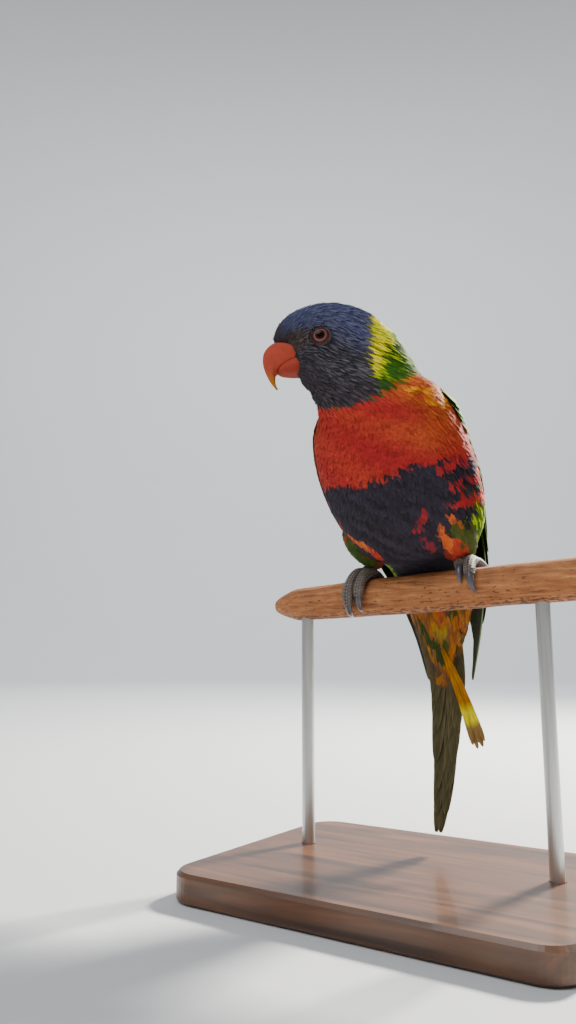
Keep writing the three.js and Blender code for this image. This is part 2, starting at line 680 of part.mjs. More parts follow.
const wholeBody = bodyLoft(0, STATIONS.length - 1, 0.5, 24);
const bodyRoom = bodyLoft(0, STATIONS.length - 1, 0.5, 24, GAP);
const billUpper = billHalf(BILL.upper);
const billLower = billHalf(BILL.lower).subtract(billHalf(BILL.upper, GAP, 1));

let headSolid = slice(wholeBody, HEAD_CUT, null);
for (const side of [1, -1]) headSolid = headSolid.add(lid(side));
for (const side of [1, -1]) headSolid = headSolid.subtract(eyeball(side, GAP, 6));
for (const half of [BILL.upper, BILL.lower]) headSolid = headSolid.subtract(billHalf(half, GAP, 1));
for (const side of [1, -1]) {
  const { ahead, z, radius } = BILL.nostril;
  const pit = ellipsoid(headPoint(side * BILL.nostril.side, ahead, z), [radius, radius, radius], 5);
  headSolid = headSolid.subtract(solid(pit));
}
add(bird, "head", largest(headSolid), COLOURS.head);
add(bird, "neck", slice(wholeBody, NECK_CUT, HEAD_CUT), COLOURS.neck);
add(bird, "torso", slice(wholeBody, RUMP_CUT, NECK_CUT), COLOURS.torso);
add(bird, "bill_upper", largest(billUpper), COLOURS.bill, 0.4);
add(bird, "bill_lower", largest(billLower), COLOURS.bill, 0.4);

const tailRoot = slice(wholeBody, null, RUMP_CUT);
const tailWhole = fuse([tailRoot, ...tailFeathers(), ...slippedFeathers(), ...tailCoverts()]);
add(bird, "tail", slice(tailWhole, null, RUMP_CUT), COLOURS.tail);

const perchRoom = perch(GAP);
for (const [word, side] of Object.entries(SIDES)) {
  add(bird, `eye_${word}`, eyeball(side), COLOURS.eye, 0.2);
  add(bird, `wing_${word}`, wing(side), COLOURS.wing);
  add(bird, `thigh_${word}`, largest(thigh(side).subtract(bodyRoom)), COLOURS.thigh);
  const footRoom = fuse([perchRoom, thigh(side, GAP), bodyRoom]);
  add(bird, `foot_${word}`, largest(foot(word).subtract(footRoom)), COLOURS.foot);
  for (const toe of TOES) add(bird, `claw_${word}_${toe.name}`, claw(word, toe), COLOURS.claw, 0.4);
}

const perchSolid = perch().translate(STANCE.x, STANCE.y, STANCE.z);
const rods = [ROD.left, ROD.right];
const rodRoom = fuse(rods.map((x) => rod(x, GAP)));
add(group, "perch", largest(perchSolid.subtract(rodRoom)), COLOURS.perch);
add(group, "stand_base", largest(basePlate().subtract(rodRoom)), COLOURS.plate, 0.5);
add(group, "stand_rod_left", rod(ROD.left), COLOURS.rod, 0.35, 1);
add(group, "stand_rod_right", rod(ROD.right), COLOURS.rod, 0.35, 1);

export default group;
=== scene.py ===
import math

import bpy
import numpy as np
from mathutils import Matrix


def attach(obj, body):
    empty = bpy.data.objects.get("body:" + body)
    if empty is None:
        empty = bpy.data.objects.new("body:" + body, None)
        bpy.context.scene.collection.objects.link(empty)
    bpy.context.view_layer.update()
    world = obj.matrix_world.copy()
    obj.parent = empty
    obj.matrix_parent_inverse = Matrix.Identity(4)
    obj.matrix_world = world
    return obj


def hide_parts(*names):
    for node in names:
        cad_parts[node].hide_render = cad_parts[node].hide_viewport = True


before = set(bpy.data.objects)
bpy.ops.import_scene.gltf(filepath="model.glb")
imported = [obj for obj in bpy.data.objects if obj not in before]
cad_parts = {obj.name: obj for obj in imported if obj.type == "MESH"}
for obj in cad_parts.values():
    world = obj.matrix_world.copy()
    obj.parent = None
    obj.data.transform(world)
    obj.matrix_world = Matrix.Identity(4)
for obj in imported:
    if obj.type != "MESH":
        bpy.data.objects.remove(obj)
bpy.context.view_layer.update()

# A life-size rainbow lorikeet gripping a short cut branch on a plain display stand.
# Shapes are worked out in millimetres from the stance, the top of the branch between the feet,
# and put into the frame in metres. The body faces -Y, its own left is +X, and its head is turned
# to its right.
STANCE = np.array([0.0, 11.0, 134.0])
SEED = 11

# The body from the tail's root to the bill, unturned. Each station is a section across the body:
# back y and z, belly y and z, half width, and how much fuller it is towards the belly.
STATIONS = np.array([
    [27.5, -50, 22.5, -50, 5, 0],
    [31, -30, 17.5, -33, 9, 0],
    [32.5, -10, 13, -17, 14, 0],
    [31.5, 9, 7, 2.5, 21, 0],
    [26.5, 29, -13, 6, 28.5, 0.05],
    [19.5, 46, -26.5, 18.5, 33, 0.05],
    [10.5, 61, -36, 34, 34, 0],
    [0, 73, -42.5, 49, 31.5, 0],
    [-10.5, 82.5, -47.5, 61.2, 26, 0],
    [-19, 92, -52.5, 70, 20.5, 0],
    [-24, 102, -56.5, 75.5, 17.6, 0.05],
    [-30.5, 110, -59.6, 79.2, 16.4, 0.1],
    [-40, 115.3, -61.6, 81, 15.8, 0.1],
    [-52, 117.3, -63, 82.2, 14.6, 0.08],
    [-64.2, 115, -63.9, 83.2, 10.6, 0.06],
    [-72.2, 109.3, -64.5, 84, 6.6, 0.05],
    [-75.6, 101.4, -64.9, 84.7, 3.8, 0],
])
HEAD_FROM = 10.4
TURN = {"degrees": 62, "from": 7.3, "to": 11, "pivot_y": -36}
LEAN = {"most": 6, "from_z": -12, "to_z": 60}
EYE = {"station": 12.27, "angle": 84.6, "radius": 4.3, "proud": 1.1}

# Bill, in the head's own upright plane: ahead of the neck axis and height of the ridge, the same of
# the foot, and the half width.
BILL_UPPER = np.array([
    [31.8, 98.4, 23.5, 91.2, 8.6],
    [35.4, 99.5, 26.5, 91.2, 8.5],
    [39.3, 99.6, 29.5, 90.2, 7.9],
    [42.2, 97.5, 33, 89.1, 6.8],
    [43.8, 94.6, 36.2, 87.9, 5.5],
    [43.8, 90.3, 38.2, 86.3, 4.4],
    [42.5, 86.2, 38.5, 84.2, 3.1],
    [40.6, 82.4, 38.2, 81.6, 1.9],
    [37.9, 78.9, 37.2, 79.2, 0.6],
])
BILL_LOWER = np.array([
    [23.5, 92.4, 23, 85.4, 8.2],
    [26.5, 92.2, 26, 85.3, 8.1],
    [30, 91.3, 29.7, 85.2, 7.4],
    [33.4, 89.9, 33.0, 85.3, 6.2],
    [35.9, 88.3, 35.6, 85.6, 4.6],
    [37.4, 86.9, 37.2, 86.0, 2.0],
])

# The folded wings' envelope, shoulder to tip, as sections like the body's, the angles of the wing's
# lower and upper edge on them, and how far each wing's tip is carried to the bird's left.
WING_STATIONS = np.array([
    [-10, 83.6, -48.2, 60.4, 27.2, 0],
    [0.3, 73.5, -43.2, 48.6, 32.3, 0],
    [11, 61.5, -36.5, 33.5, 34.7, 0],
    [20, 46.4, -27, 18, 33.8, 0],
    [26.8, 29, -13, 6, 29.5, 0],
    [32.5, 10, 1, -4, 25.5, 0],
    [36, -9, 10, -17, 20.5, 0],
    [37, -27, 17, -31, 16.5, 0],
    [34.5, -47, 20, -48, 12.5, 0],
])
WING_LOWER = np.array([103.0, 104, 105, 104, 102, 101, 100, 99, 100])
WING_UPPER = np.array([132.0, 150, 159, 164, 166, 167, 165, 158, 150])
WING_CARRIED = {1: 0.5, -1: 4.6}

# Tail: root, bend and tip of its middle line. Under tail feathers that have slipped aside: the same
# of each, and its half width.
TAIL = ((1.5, 27, -14), (4.5, 26.5, -60), (0.3, 15, -113))
SLIPPED = [
    ((3.2, 19.2, -32), (13.6, 17.2, -51), (22.6, 14.6, -75.0), 1.3),
    ((3.4, 18.8, -32), (12.6, 16.8, -50), (20.4, 14.2, -76.0), 1.25),
    ((2.8, 18.5, -32), (14.4, 16.6, -53), (21.6, 13.8, -73.5), 1.2),
    ((3.0, 18.2, -33), (11.6, 16.3, -51), (18.6, 13.5, -74.5), 1.15),
    ((3.6, 18.0, -32), (15.2, 16.1, -52), (23.9, 13.3, -72.5), 1.1),
]

# Thigh, from the hip to the ankle: place and radius. Then the branch, the feet's places on it, and
# the gap left between the body and a wing and between the branch and a toe.
THIGH = np.array([[18, -4, 27, 11], [20.5, -2.5, 18, 11.5], [21.5, 2.5, 10.5, 8], [21.6, 5, 7.4, 4.4]])
PERCH = {"radius": 8.8, "left": -75.7, "right": 74.7, "rise": 2.6}
LEG_SIDE = {"left": 24.5, "right": 24.9}
SIDES = {"left": 1, "right": -1}
GAP = 0.35


# Numbers and vectors.
def smooth(x, low, high):
    """0 below low, 1 above high, and 3k^2 - 2k^3 between them."""
    k = np.clip((x - low) / (high - low), 0, 1)
    return k * k * (3 - 2 * k)


def between(x, low, high, fall, end):
    """Rises from 0 to 1 as x goes from low to high, and falls back as it goes from fall to end."""
    return smooth(x, low, high) * (1 - smooth(x, fall, end))


def bulge(x, middle, width):
    """A bell of height 1: e to the minus of the distance from the middle in widths, squared."""
    return np.exp(-(((x - middle) / width) ** 2))


def mix(a, b, share):
    return a + (b - a) * share


def unit(v):
    return v / np.maximum(np.linalg.norm(v, axis=-1, keepdims=True), 1e-9)


def dot(a, b):
    return np.sum(a * b, axis=-1)


def turns(count):
    """Angles at equal steps round a circle."""
    return np.arange(count) * 2 * math.pi / count


def run_along(points):
    """How far each of a line's points is from its first, along the line."""
    return np.concatenate([[0], np.cumsum(np.linalg.norm(np.diff(points, axis=0), axis=-1))])


def along(values, t):
    """The uniform Catmull-Rom value at t of equally spaced rows of numbers, with straight runs past
    either end."""
    last = len(values) - 1
    t = np.asarray(t, float)
    within = np.clip(t, 0, last)
    i = np.clip(np.floor(within).astype(int), 0, last - 1)
    f, past = within - i, t - within
    before, here, after, beyond = (values[np.clip(i + k, 0, last)] for k in (-1, 0, 1, 2))
    if values.ndim > 1:
        f, past = f[..., None], past[..., None]
    m1 = (after - before) / 2
    m2 = (beyond - here) / 2
    return (
        (2 * f**3 - 3 * f**2 + 1) * here
        + (f**3 - 2 * f**2 + f) * m1
        + (3 * f**2 - 2 * f**3) * after
        + (f**3 - f**2) * m2
        + past * np.where(past < 0, m1, m2)
    )


def bezier(points, s):
    """The quadratic Bezier point at s: (1-s)^2 a + 2 s (1-s) b + s^2 c."""
    a, b, c = (np.array(p, float) for p in points)
    s = np.asarray(s, float)[..., None]
    return (1 - s) ** 2 * a + 2 * s * (1 - s) * b + s**2 * c


def linear(code):
    """A hex colour as three linear light values."""
    c = np.array([int(code[i : i + 2], 16) for i in (0, 2, 4)]) / 255
    return np.where(c <= 0.04045, c / 12.92, ((c + 0.055) / 1.055) ** 2.4)


# The bird's surfaces. Each takes two arrays of parameters and gives points.
def leaned(p, most=LEAN["most"]):
    """Every point shifts to the bird's right by an amount that grows with its height."""
    p = p.copy()
    p[..., 0] -= most * smooth(p[..., 2], LEAN["from_z"], LEAN["to_z"])
    return p


def turned(p, t):
    """Turns points about the upright neck axis by an angle that grows along the neck."""
    angle = -math.radians(TURN["degrees"]) * smooth(t, TURN["from"], TURN["to"])
    x, y = p[..., 0], p[..., 1] - TURN["pivot_y"]
    cos, sin = np.cos(angle), np.sin(angle)
    return np.stack([x * cos - y * sin, x * sin + y * cos + TURN["pivot_y"], p[..., 2]], -1)


def loft_point(stations, t, angle, grow=0.0):
    """An oval section at station t: the angle runs from the belly (0) up the left side to the back."""
    t, angle, grow = np.broadcast_arrays(np.asarray(t, float), angle, grow)
    back_y, back_z, belly_y, belly_z, half, low = np.moveaxis(along(stations, t), -1, 0)
    rise_y, rise_z = (back_y - belly_y) / 2, (back_z - belly_z) / 2
    reach = np.hypot(rise_y, rise_z)
    c = np.cos(angle)
    k = -c * (reach + grow) / reach
    x = np.sin(angle) * (half * (1 + low * c) + grow)
    return np.stack([x, (back_y + belly_y) / 2 + rise_y * k, (back_z + belly_z) / 2 + rise_z * k], -1)


def body_surface(t, angle):
    return leaned(turned(loft_point(STATIONS, t, angle), np.asarray(t, float)))


def head_point(side, ahead, z):
    """A point set out aside, ahead and up on the unturned head, carried by its turn and the lean."""
    p = np.stack(np.broadcast_arrays(side, TURN["pivot_y"] - ahead, z), -1).astype(float)
    return leaned(turned(p, TURN["to"]))


def wing_surface(side):
    """The folded wing's envelope: t counts its stations and share crosses it from edge to edge."""

    def surface(t, share):
        k = np.minimum(t, len(WING_STATIONS) - 1)
        angle = np.radians(mix(along(WING_LOWER, k), along(WING_UPPER, k), share))
        p = loft_point(WING_STATIONS, k, angle, GAP)
        p[..., 0] = p[..., 0] * side + WING_CARRIED[side] * smooth(t, 4, 8)
        return leaned(p)

    return surface


def tail_surface(s, side):
    """The tail's sheet: its bent middle line from root to tip, carried sideways."""
    p = bezier(TAIL, s)
    p[..., 0] += side
    return p


def strip_surface(points):
    """A sheet along a bent line, as wide as it is carried square to the line and level with it."""

    def surface(t, a):
        way = unit(bezier(points, np.asarray(t) + 0.01) - bezier(points, np.asarray(t) - 0.01))
        return bezier(points, t) + np.cross(way, np.array([0.0, 1.0, 0.0])) * np.asarray(a)[..., None]

    return surface


def thigh_surface(side):
    """A tapering tube down the thigh: t falls from 3 at the hip to 0 at the ankle."""

    def surface(t, angle):
        before, at, after = (along(THIGH, 3 - np.asarray(t, float) + d) for d in (-0.05, 0, 0.05))
        down = unit(after[..., :3] - before[..., :3])
        ahead = unit(np.cross(down, np.array([1.0, 0, 0])))
        around = np.cos(angle)[..., None] * ahead + np.sin(angle)[..., None] * np.cross(ahead, down)
        p = at[..., :3] + at[..., 3:] * around
        p[..., 0] *= side
        return leaned(p)

    return surface


def surface_frame(surface, t, a, outward=1.0):
    """Points, outward normals and the two parameter derivatives, by small differences."""
    step = 0.004
    dt = (surface(t + step, a) - surface(t - step, a)) / (2 * step)
    da = (surface(t, a + step) - surface(t, a - step)) / (2 * step)
    return surface(t, a), unit(np.cross(da, dt)) * outward, dt, da


def outward_sign(surface, t, a, away):
    """1 where the surface's normal at one place points the given way, and -1 where it points back."""
    normal = surface_frame(surface, np.array([t]), np.array([a]))[1][0]
    return 1.0 if dot(normal, np.array(away)) > 0 else -1.0


BODY_OUT = outward_sign(body_surface, 6.0, 0.0, (0, -1, -0.3))
TAIL_OUT = outward_sign(tail_surface, 0.5, 0.0, (0, 1, 0))


def eye_seat(side):
    """Where an eye sits: a point on the head and the way it looks."""
    station, angle = np.array([EYE["station"]]), np.array([side * math.radians(EYE["angle"])])
    p, normal, _, _ = surface_frame(body_surface, station, angle, BODY_OUT)
    return p[0], normal[0]


EYE_SEATS = {word: eye_seat(side) for word, side in SIDES.items()}


# Meshes. A part is a dict of points, faces, a tint for each point and maps by name.
def grid_triangles(rows, cols, wrap=False):
    """Two triangles for each cell of a grid of points, with wrap joining the last column to the first."""
    i = np.arange(rows - 1)[:, None]
    j = np.arange(cols if wrap else cols - 1)[None, :]
    k = (j + 1) % cols
    a, b, c, d = i * cols + j, i * cols + k, (i + 1) * cols + k, (i + 1) * cols + j
    return np.stack([a, b, c, a, c, d], -1).reshape(-1, 3)


def tube_part(rings, tint, **uv):
    """A tube through rings (n, m, 3), each end closed on its middle."""
    n, m = rings.shape[:2]
    points = np.concatenate([rings.reshape(-1, 3), rings[:1].mean(1), rings[-1:].mean(1)])
    j = np.arange(m)
    k = (j + 1) % m
    start = np.stack([np.full(m, n * m), k, j], -1)
    end = np.stack([np.full(m, n * m + 1), (n - 1) * m + j, (n - 1) * m + k], -1)
    faces = np.concatenate([grid_triangles(n, m, True), start, end])
    return {"points": points, "faces": faces, "tint": np.broadcast_to(tint, points.shape), "uv": uv}


def with_ends(values, first, last):
    """A closed tube's values: those of its rings, then those of the middles of its two ends."""
    return np.concatenate([np.ravel(values), [first, last]])


def facing_out(points, faces):
    """Turns the triangles round where the closed surface's volume comes out negative."""
    a, b, c = (points[faces[:, k]] for k in range(3))
    return faces if np.sum(dot(a, np.cross(b, c))) > 0 else faces[:, ::-1]


def gathered(parts):
    """Several parts as one, each of them facing outwards."""
    starts = np.cumsum([0] + [len(part["points"]) for part in parts])
    return {
        "points": np.concatenate([part["points"] for part in parts]),
        "faces": np.concatenate(
            [facing_out(part["points"], part["faces"]) + start for part, start in zip(parts, starts)]
        ),
        "tint": np.concatenate([part["tint"] for part in parts]),
        "uv": {name: np.concatenate([part["uv"][name] for part in parts]) for name in parts[0]["uv"]},
    }


def shown(name, data):
    """A new object in the scene."""
    made = bpy.data.objects.new(name, data)
    bpy.context.scene.collection.objects.link(made)
    return made


def make_piece(name, part, material, slot, *replaces):
    """A part as a mesh piece in the frame, in place of the named nodes."""
    points, uv = part["points"], part["uv"]
    faces = facing_out(points, part["faces"])
    mesh = bpy.data.meshes.new(name)
    mesh.vertices.add(len(points))
    mesh.vertices.foreach_set("co", ((points + STANCE) * 0.001).astype(np.float32).ravel())
    mesh.loops.add(faces.size)
    mesh.loops.foreach_set("vertex_index", faces.astype(np.int32).ravel())
    mesh.polygons.add(len(faces))
    mesh.polygons.foreach_set("loop_start", np.arange(0, faces.size, 3, dtype=np.int32))
    mesh.polygons.foreach_set("use_smooth", np.ones(len(faces), bool))
    mesh.update(calc_edges=True)
    if "vane" in uv:
        # A vane's two sheets meet in a crisp edge, so each is shaded on its own.
        mesh.set_sharp_from_angle(angle=1.0)
    for label, values in uv.items():
        layer = mesh.uv_layers.new(name=label)
        layer.uv.foreach_set("vector", values[faces.ravel()].astype(np.float32).ravel())
    layer = mesh.color_attributes.new(name="tint", type="FLOAT_COLOR", domain="POINT")
    rgba = np.concatenate([part["tint"], np.ones((len(points), 1))], 1).astype(np.float32)
    layer.data.foreach_set("color", rgba.ravel())
    mesh.materials.append(material)
    piece = shown(name, mesh)
    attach(piece, "root")
    if replaces:
        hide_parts(*replaces)


# Shader building.
def node(tree, kind, values=(), links=(), **settings):
    """A shader node with its properties, the values of its sockets and what feeds them."""
    made = tree.nodes.new("ShaderNode" + kind)
    for key, value in settings.items():
        setattr(made, key, value)
    for socket, value in dict(values).items():
        made.inputs[socket].default_value = value
    for socket, source in dict(links).items():
        tree.links.new(source, made.inputs[socket])
    return made


def maths(tree, operation, a, b=None):
    """One arithmetic node on sockets or numbers."""
    made = node(tree, "Math", operation=operation)
    for socket, value in zip(made.inputs, (a, b)):
        if isinstance(value, (int, float)):
            socket.default_value = value
        elif value is not None:
            tree.links.new(value, socket)
    return made.outputs[0]


def new_group(name, inputs, outputs):
    """A shader node group, from the kind of each named socket."""
    group = bpy.data.node_groups.new(name, "ShaderNodeTree")
    for way, sockets in (("INPUT", inputs), ("OUTPUT", outputs)):
        for label, kind in sockets.items():
            group.interface.new_socket(label, in_out=way, socket_type="NodeSocket" + kind)
    return group, group.nodes.new("NodeGroupInput"), group.nodes.new("NodeGroupOutput")


def barb_group():
    """Feather barbs from a vane's own map, in millimetres across and along it. The barbs slant away
    from the shaft: their phase is the length along less a share of the width, and each barb's
    lightness is a noise of that phase."""
    group, given, result = new_group(
        "feather barbs",
        {"Place": "Vector", "Spacing": "Float", "Slant": "Float"},
        {"Shade": "Float", "Relief": "Float"},
    )
    apart = node(group, "SeparateXYZ", links={0: given.outputs["Place"]})
    across, length = apart.outputs[:2]
    slanted = maths(group, "MULTIPLY", maths(group, "ABSOLUTE", across), given.outputs["Slant"])
    phase = maths(group, "SUBTRACT", length, slanted)
    count = maths(group, "DIVIDE", phase, given.outputs["Spacing"])
    wave = maths(group, "SINE", maths(group, "MULTIPLY", count, 2 * math.pi))
    spot = {0: maths(group, "MULTIPLY", count, 0.55), 1: maths(group, "MULTIPLY", across, 0.6)}
    spot = node(group, "CombineXYZ", links=spot)
    noise = node(group, "TexNoise", {"Scale": 1.0, "Detail": 2.0}, {"Vector": spot.outputs[0]})
    relief = maths(group, "ADD", maths(group, "MULTIPLY", wave, 0.3), noise.outputs["Fac"])
    group.links.new(noise.outputs["Fac"], result.inputs["Shade"])
    group.links.new(relief, result.inputs["Relief"])
    return group


def mottle_group():
    """Soft blotches over fine grain: two noises of the object's own place, one nine times finer."""
    group, given, result = new_group(
        "mottle", {"Place": "Vector", "Size": "Float"}, {"Shade": "Float", "Relief": "Float"}
    )
    for label, factor, detail in (("Shade", 1.0, 3.0), ("Relief", 9.0, 4.0)):
        scale = maths(group, "MULTIPLY", given.outputs["Size"], factor)
        noise = node(
            group, "TexNoise", {"Detail": detail}, {"Vector": given.outputs["Place"], "Scale": scale}
        )
        group.links.new(noise.outputs["Fac"], result.inputs[label])
    return group


def new_material(name, **principled):
    """A material with a Principled shader whose named sockets are set."""
    material = bpy.data.materials.new(name)
    material.use_nodes = True
    tree = material.node_tree
    shader = next(n for n in tree.nodes if n.type == "BSDF_PRINCIPLED")
    for socket, value in principled.items():
        shader.inputs[socket.replace("_", " ")].default_value = value
    return material, tree, shader


def surfaced(tree, shader, colour, height, strength, distance):
    """Feeds a material's colour and the relief of its surface."""
    bump = node(tree, "Bump", {"Strength": strength, "Distance": distance}, {"Height": height})
    tree.links.new(colour, shader.inputs["Base Color"])
    tree.links.new(bump.outputs[0], shader.inputs["Normal"])


def tinted_material(name, group, settings, low, high, relief, depth=0.0002, **principled):
    """The piece's own tint, times a factor that runs from low to high with a group's shade, and raised
    by its relief. Barbs lie on their vane's own map, and a mottle on the object's own place."""
    material, tree, shader = new_material(name, **principled)
    if group == BARBS:
        place = node(tree, "UVMap", uv_map="vane").outputs[0]
    else:
        place = node(tree, "TexCoord").outputs["Object"]
    effect = node(tree, "Group", node_tree=group)
    tree.links.new(place, effect.inputs["Place"])
    for label, value in settings.items():
        effect.inputs[label].default_value = value
    reach = {"From Min": 0.25, "From Max": 0.75, "To Min": low, "To Max": high}
    spread = node(tree, "MapRange", reach, {"Value": effect.outputs["Shade"]})
    tint = node(tree, "Attribute", attribute_name="tint")
    lit = {0: tint.outputs["Color"], "Scale": spread.outputs[0]}
    colour = node(tree, "VectorMath", links=lit, operation="SCALE").outputs[0]
    surfaced(tree, shader, colour, effect.outputs["Relief"], relief, depth)
    return material


def feather_material(name, spacing, slant, low, high, relief):
    return tinted_material(name, BARBS, {"Spacing": spacing, "Slant": slant}, low, high, relief, **SOFT)


def mottled_material(name, size, low, high, relief, depth=0.0002, **principled):
    return tinted_material(name, MOTTLE, {"Size": size}, low, high, relief, depth, **principled)


BARBS = barb_group()
MOTTLE = mottle_group()
SOFT = {"Roughness": 0.75, "Specular_IOR_Level": 0.13}
HEAD_FEATHER = feather_material("head feather", 0.16, 1.2, 0.8, 1.2, 0.2)
BODY_FEATHER = feather_material("body feather", 0.3, 1.2, 0.92, 1.07, 0.15)
COVERT_FEATHER = feather_material("covert feather", 1.6, 4.0, 0.7, 1.25, 0.3)
WING_FEATHER = feather_material("wing feather", 0.5, 1.4, 0.8, 1.18, 0.3)
TAIL_FEATHER = feather_material("tail feather", 2.2, 5.0, 0.55, 1.35, 0.5)
BARE_SKIN = mottled_material("bare skin", 900, 0.8, 1.2, 0.5, **SOFT)
BILL_HORN = mottled_material(
    "bill horn", 420, 0.92, 1.07, 0.2, 0.00006, Roughness=0.6, Specular_IOR_Level=0.03
)
CLAW_HORN = mottled_material("claw horn", 500, 0.75, 1.25, 0.3, 0.0001, Roughness=0.3, Coat_Weight=0.2)
FOOT_SKIN = mottled_material("scaled foot", 420, 0.72, 1.25, 0.6, 0.0003, Roughness=0.55)
EYE_GLOSS = mottled_material("eye", 1500, 0.8, 1.2, 0.0, Roughness=0.16, Specular_IOR_Level=0.09)

# Colours of the plumage and the bare parts.
COLOUR = {
    name: linear(code)
    for name, code in {
        "crown": "464a6a", "face": "2a282e", "streak": "8c90b0", "cheek streak": "88848c",
        "lore": "40332c", "throat": "352f32", "throat streak": "605b66",
        "yellow": "fbea00", "lime": "a9c400", "green": "3c6c14", "deep green": "294612",
        "red": "a92829", "red orange": "b93d2a", "orange": "c8602a", "amber": "f0a01c",
        "bar": "6e1c16", "belly": "262128", "belly edge": "37323f", "thigh green": "4a5222",
        "olive": "4c4730", "olive edge": "6a6042", "quill": "26241e", "quill edge": "57534a",
        # The darkest bill colour on the next line is painted shade for the lower bill's underside.
        "bill": "a64636", "bill tip": "a86a1e", "bill painted shade": "54130b", "bill root": "8c4630",
        "foot": "6b6058", "claw": "42424a", "lid": "524b47", "lid edge": "541b16",
        "iris": "32100a", "iris rim": "6e5250", "pupil": "050506",
    }.items()
}

# Markings of the flanks and thighs, before the lean. Each runs from one point to another, with its
# radius at either end, how strongly it shows, its colour, and whether the other side has it too.
BOTH, ONE = (1, -1), (1,)
MARKS = [
    ((33.5, -8, 51), (29, -25, 39), 3.9, 2.4, 1.0, "red", BOTH),
    ((33.5, -1, 41), (30.5, -19, 33), 2.6, 1.6, 1.0, "red", BOTH),
    ((32.5, 5, 33), (32, -9, 28), 3.6, 2.6, 1.0, "red orange", BOTH),
    ((32, -9, 28), (28, -18, 26), 2.6, 0.8, 1.0, "red", BOTH),
    ((33.3, 1.5, 37.5), (32.8, -11.5, 32.5), 1.6, 0.8, 0.9, "deep green", BOTH),
    ((32.2, 4, 30.5), (31.6, -8, 26), 1.5, 1.1, 0.9, "deep green", BOTH),
    ((19, -24, 22.6), (14, -22, 16.5), 1.0, 1.6, 0.75, "red", ONE),
    ((14.5, -18, 12.7), (15, -11.5, 8), 1.4, 1.6, 0.5, "red", ONE),
    ((27, -15.5, 21.5), (28.2, -11.3, 18), 1.9, 1.5, 1.0, "orange", ONE),
    ((26.7, -12.4, 17.3), (29.8, -1.2, 10.8), 1.6, 3.8, 0.95, "thigh green", BOTH),
    ((30.3, -8.5, 22.7), (30.3, -8.2, 17.5), 1.7, 1.6, 0.8, "belly", ONE),
    ((21, -16.2, 15.5), (23.2, -9, 9), 1.9, 3.6, 1.0, "orange", ONE),
    ((25.2, -9, 10), (24, -1.7, 5), 2.6, 3.4, 0.9, "red orange", ONE),
    ((29.8, 7, 23), (27, 15, 9), 1.8, 1.4, 1.0, "lime", BOTH),
    ((-26, -18.4, 23.3), (-27.8, -11.3, 16.2), 1.2, 1.0, 0.9, "red", ONE),
    ((-22.4, -16, 16.6), (-13, -15.5, 9.8), 1.7, 2.4, 1.0, "orange", ONE),
    ((-13, -15.5, 9.8), (-10, -4, 0), 2.2, 2.0, 0.9, "red orange", ONE),
    ((-24.4, -10.6, 11), (-20, -3, 5), 3.0, 3.6, 0.9, "deep green", ONE),
]
# Markings of the under tail coverts, in the same form.
UNDER_TAIL = [
    ((5.4, 14.5, -15), (4.5, 15, -22), 3.0, 2.0, 0.6, "red orange", ONE),
    ((11.5, 17, -14), (9, 17, -21), 3.2, 2.2, 0.9, "deep green", ONE),
    ((-11, 18, -24), (-3.5, 21, -46), 3.2, 5.0, 0.9, "olive", ONE),
    ((1.0, 15.5, -26), (5.3, 17.2, -31), 1.6, 1.9, 0.28, "lime", ONE),
    ((-5.3, 15.8, -23), (3.6, 20, -40), 1.6, 2.4, 0.95, "deep green", ONE),
    ((7.6, 17, -29), (4.6, 19.5, -38), 1.2, 1.8, 0.9, "deep green", ONE),
]

# Where the plumage changes colour, as stations at angles round the body in degrees. The last one is
# where the head's feathers end behind the bill.
EDGES = {
    "head": ([-180, -150, -110, -80, -60, -32, -11, 12, 28, 50, 69, 83, 103, 124, 150, 180],
             [10.9, 10.8, 10.1, 9.5, 9.1, 8.85, 8.64, 8.48, 8.35, 8.41, 9.05, 9.36, 9.78, 10.25, 10.82,
              10.85]),
    "collar": ([-180, -150, -120, -95, -75, -60, 60, 69, 80, 97, 128, 150, 180],
               [9.9, 9.9, 9.5, 9.15, 9.0, 8.9, 8.9, 8.95, 9.03, 9.23, 9.58, 10.01, 9.95]),
    "breast top": ([-180, -95, -60, -32, -11, 12, 28, 50, 73, 95, 180],
                   [8.5, 8.6, 8.8, 8.8, 8.64, 8.48, 8.35, 8.41, 8.49, 8.5, 8.3]),
    "breast foot": ([-180, -97, -67, -56, -29, -10, 6, 15, 31, 49, 67, 97, 180],
                    [6.0, 6.0, 6.05, 6.07, 6.02, 5.97, 6.2, 6.15, 6.16, 6.12, 6.07, 5.96, 6.0]),
    "bill": ([-180, -140, -110, -79, -62, -41, -16, 16, 41, 62, 79, 110, 140, 180],
             [15.95, 15.9, 15.53, 14.63, 14.2, 13.75, 13.6, 13.6, 13.75, 14.2, 14.63, 15.53, 15.9, 15.95]),
}


# Plumage.
def blend(base, other, mask):
    """From one colour to another, each a name or an array, as the mask goes from 0 to 1."""
    base, other = (COLOUR[c] if isinstance(c, str) else c for c in (base, other))
    return base + (other - base) * np.clip(mask, 0, 1)[..., None]


def each(values):
    """A value for each feather, set out so that it meets values along and across the feathers."""
    return values[:, None, None]


def edge(name, degrees):
    return np.interp(degrees, *EDGES[name])


def wrapped(a):
    return np.mod(a + math.pi, 2 * math.pi) - math.pi


def patchy(t, a, seed):
    """A smooth, seeded waviness of about one over the body, from a few sines of the two parameters."""
    rng = np.random.default_rng(seed)
    total = 0
    for _ in range(6):
        f, g, h = rng.uniform(1.5, 5), rng.integers(1, 8), rng.uniform(0, 2 * math.pi)
        total = total + np.sin(f * t + g * a + h)
    return total / 2.5


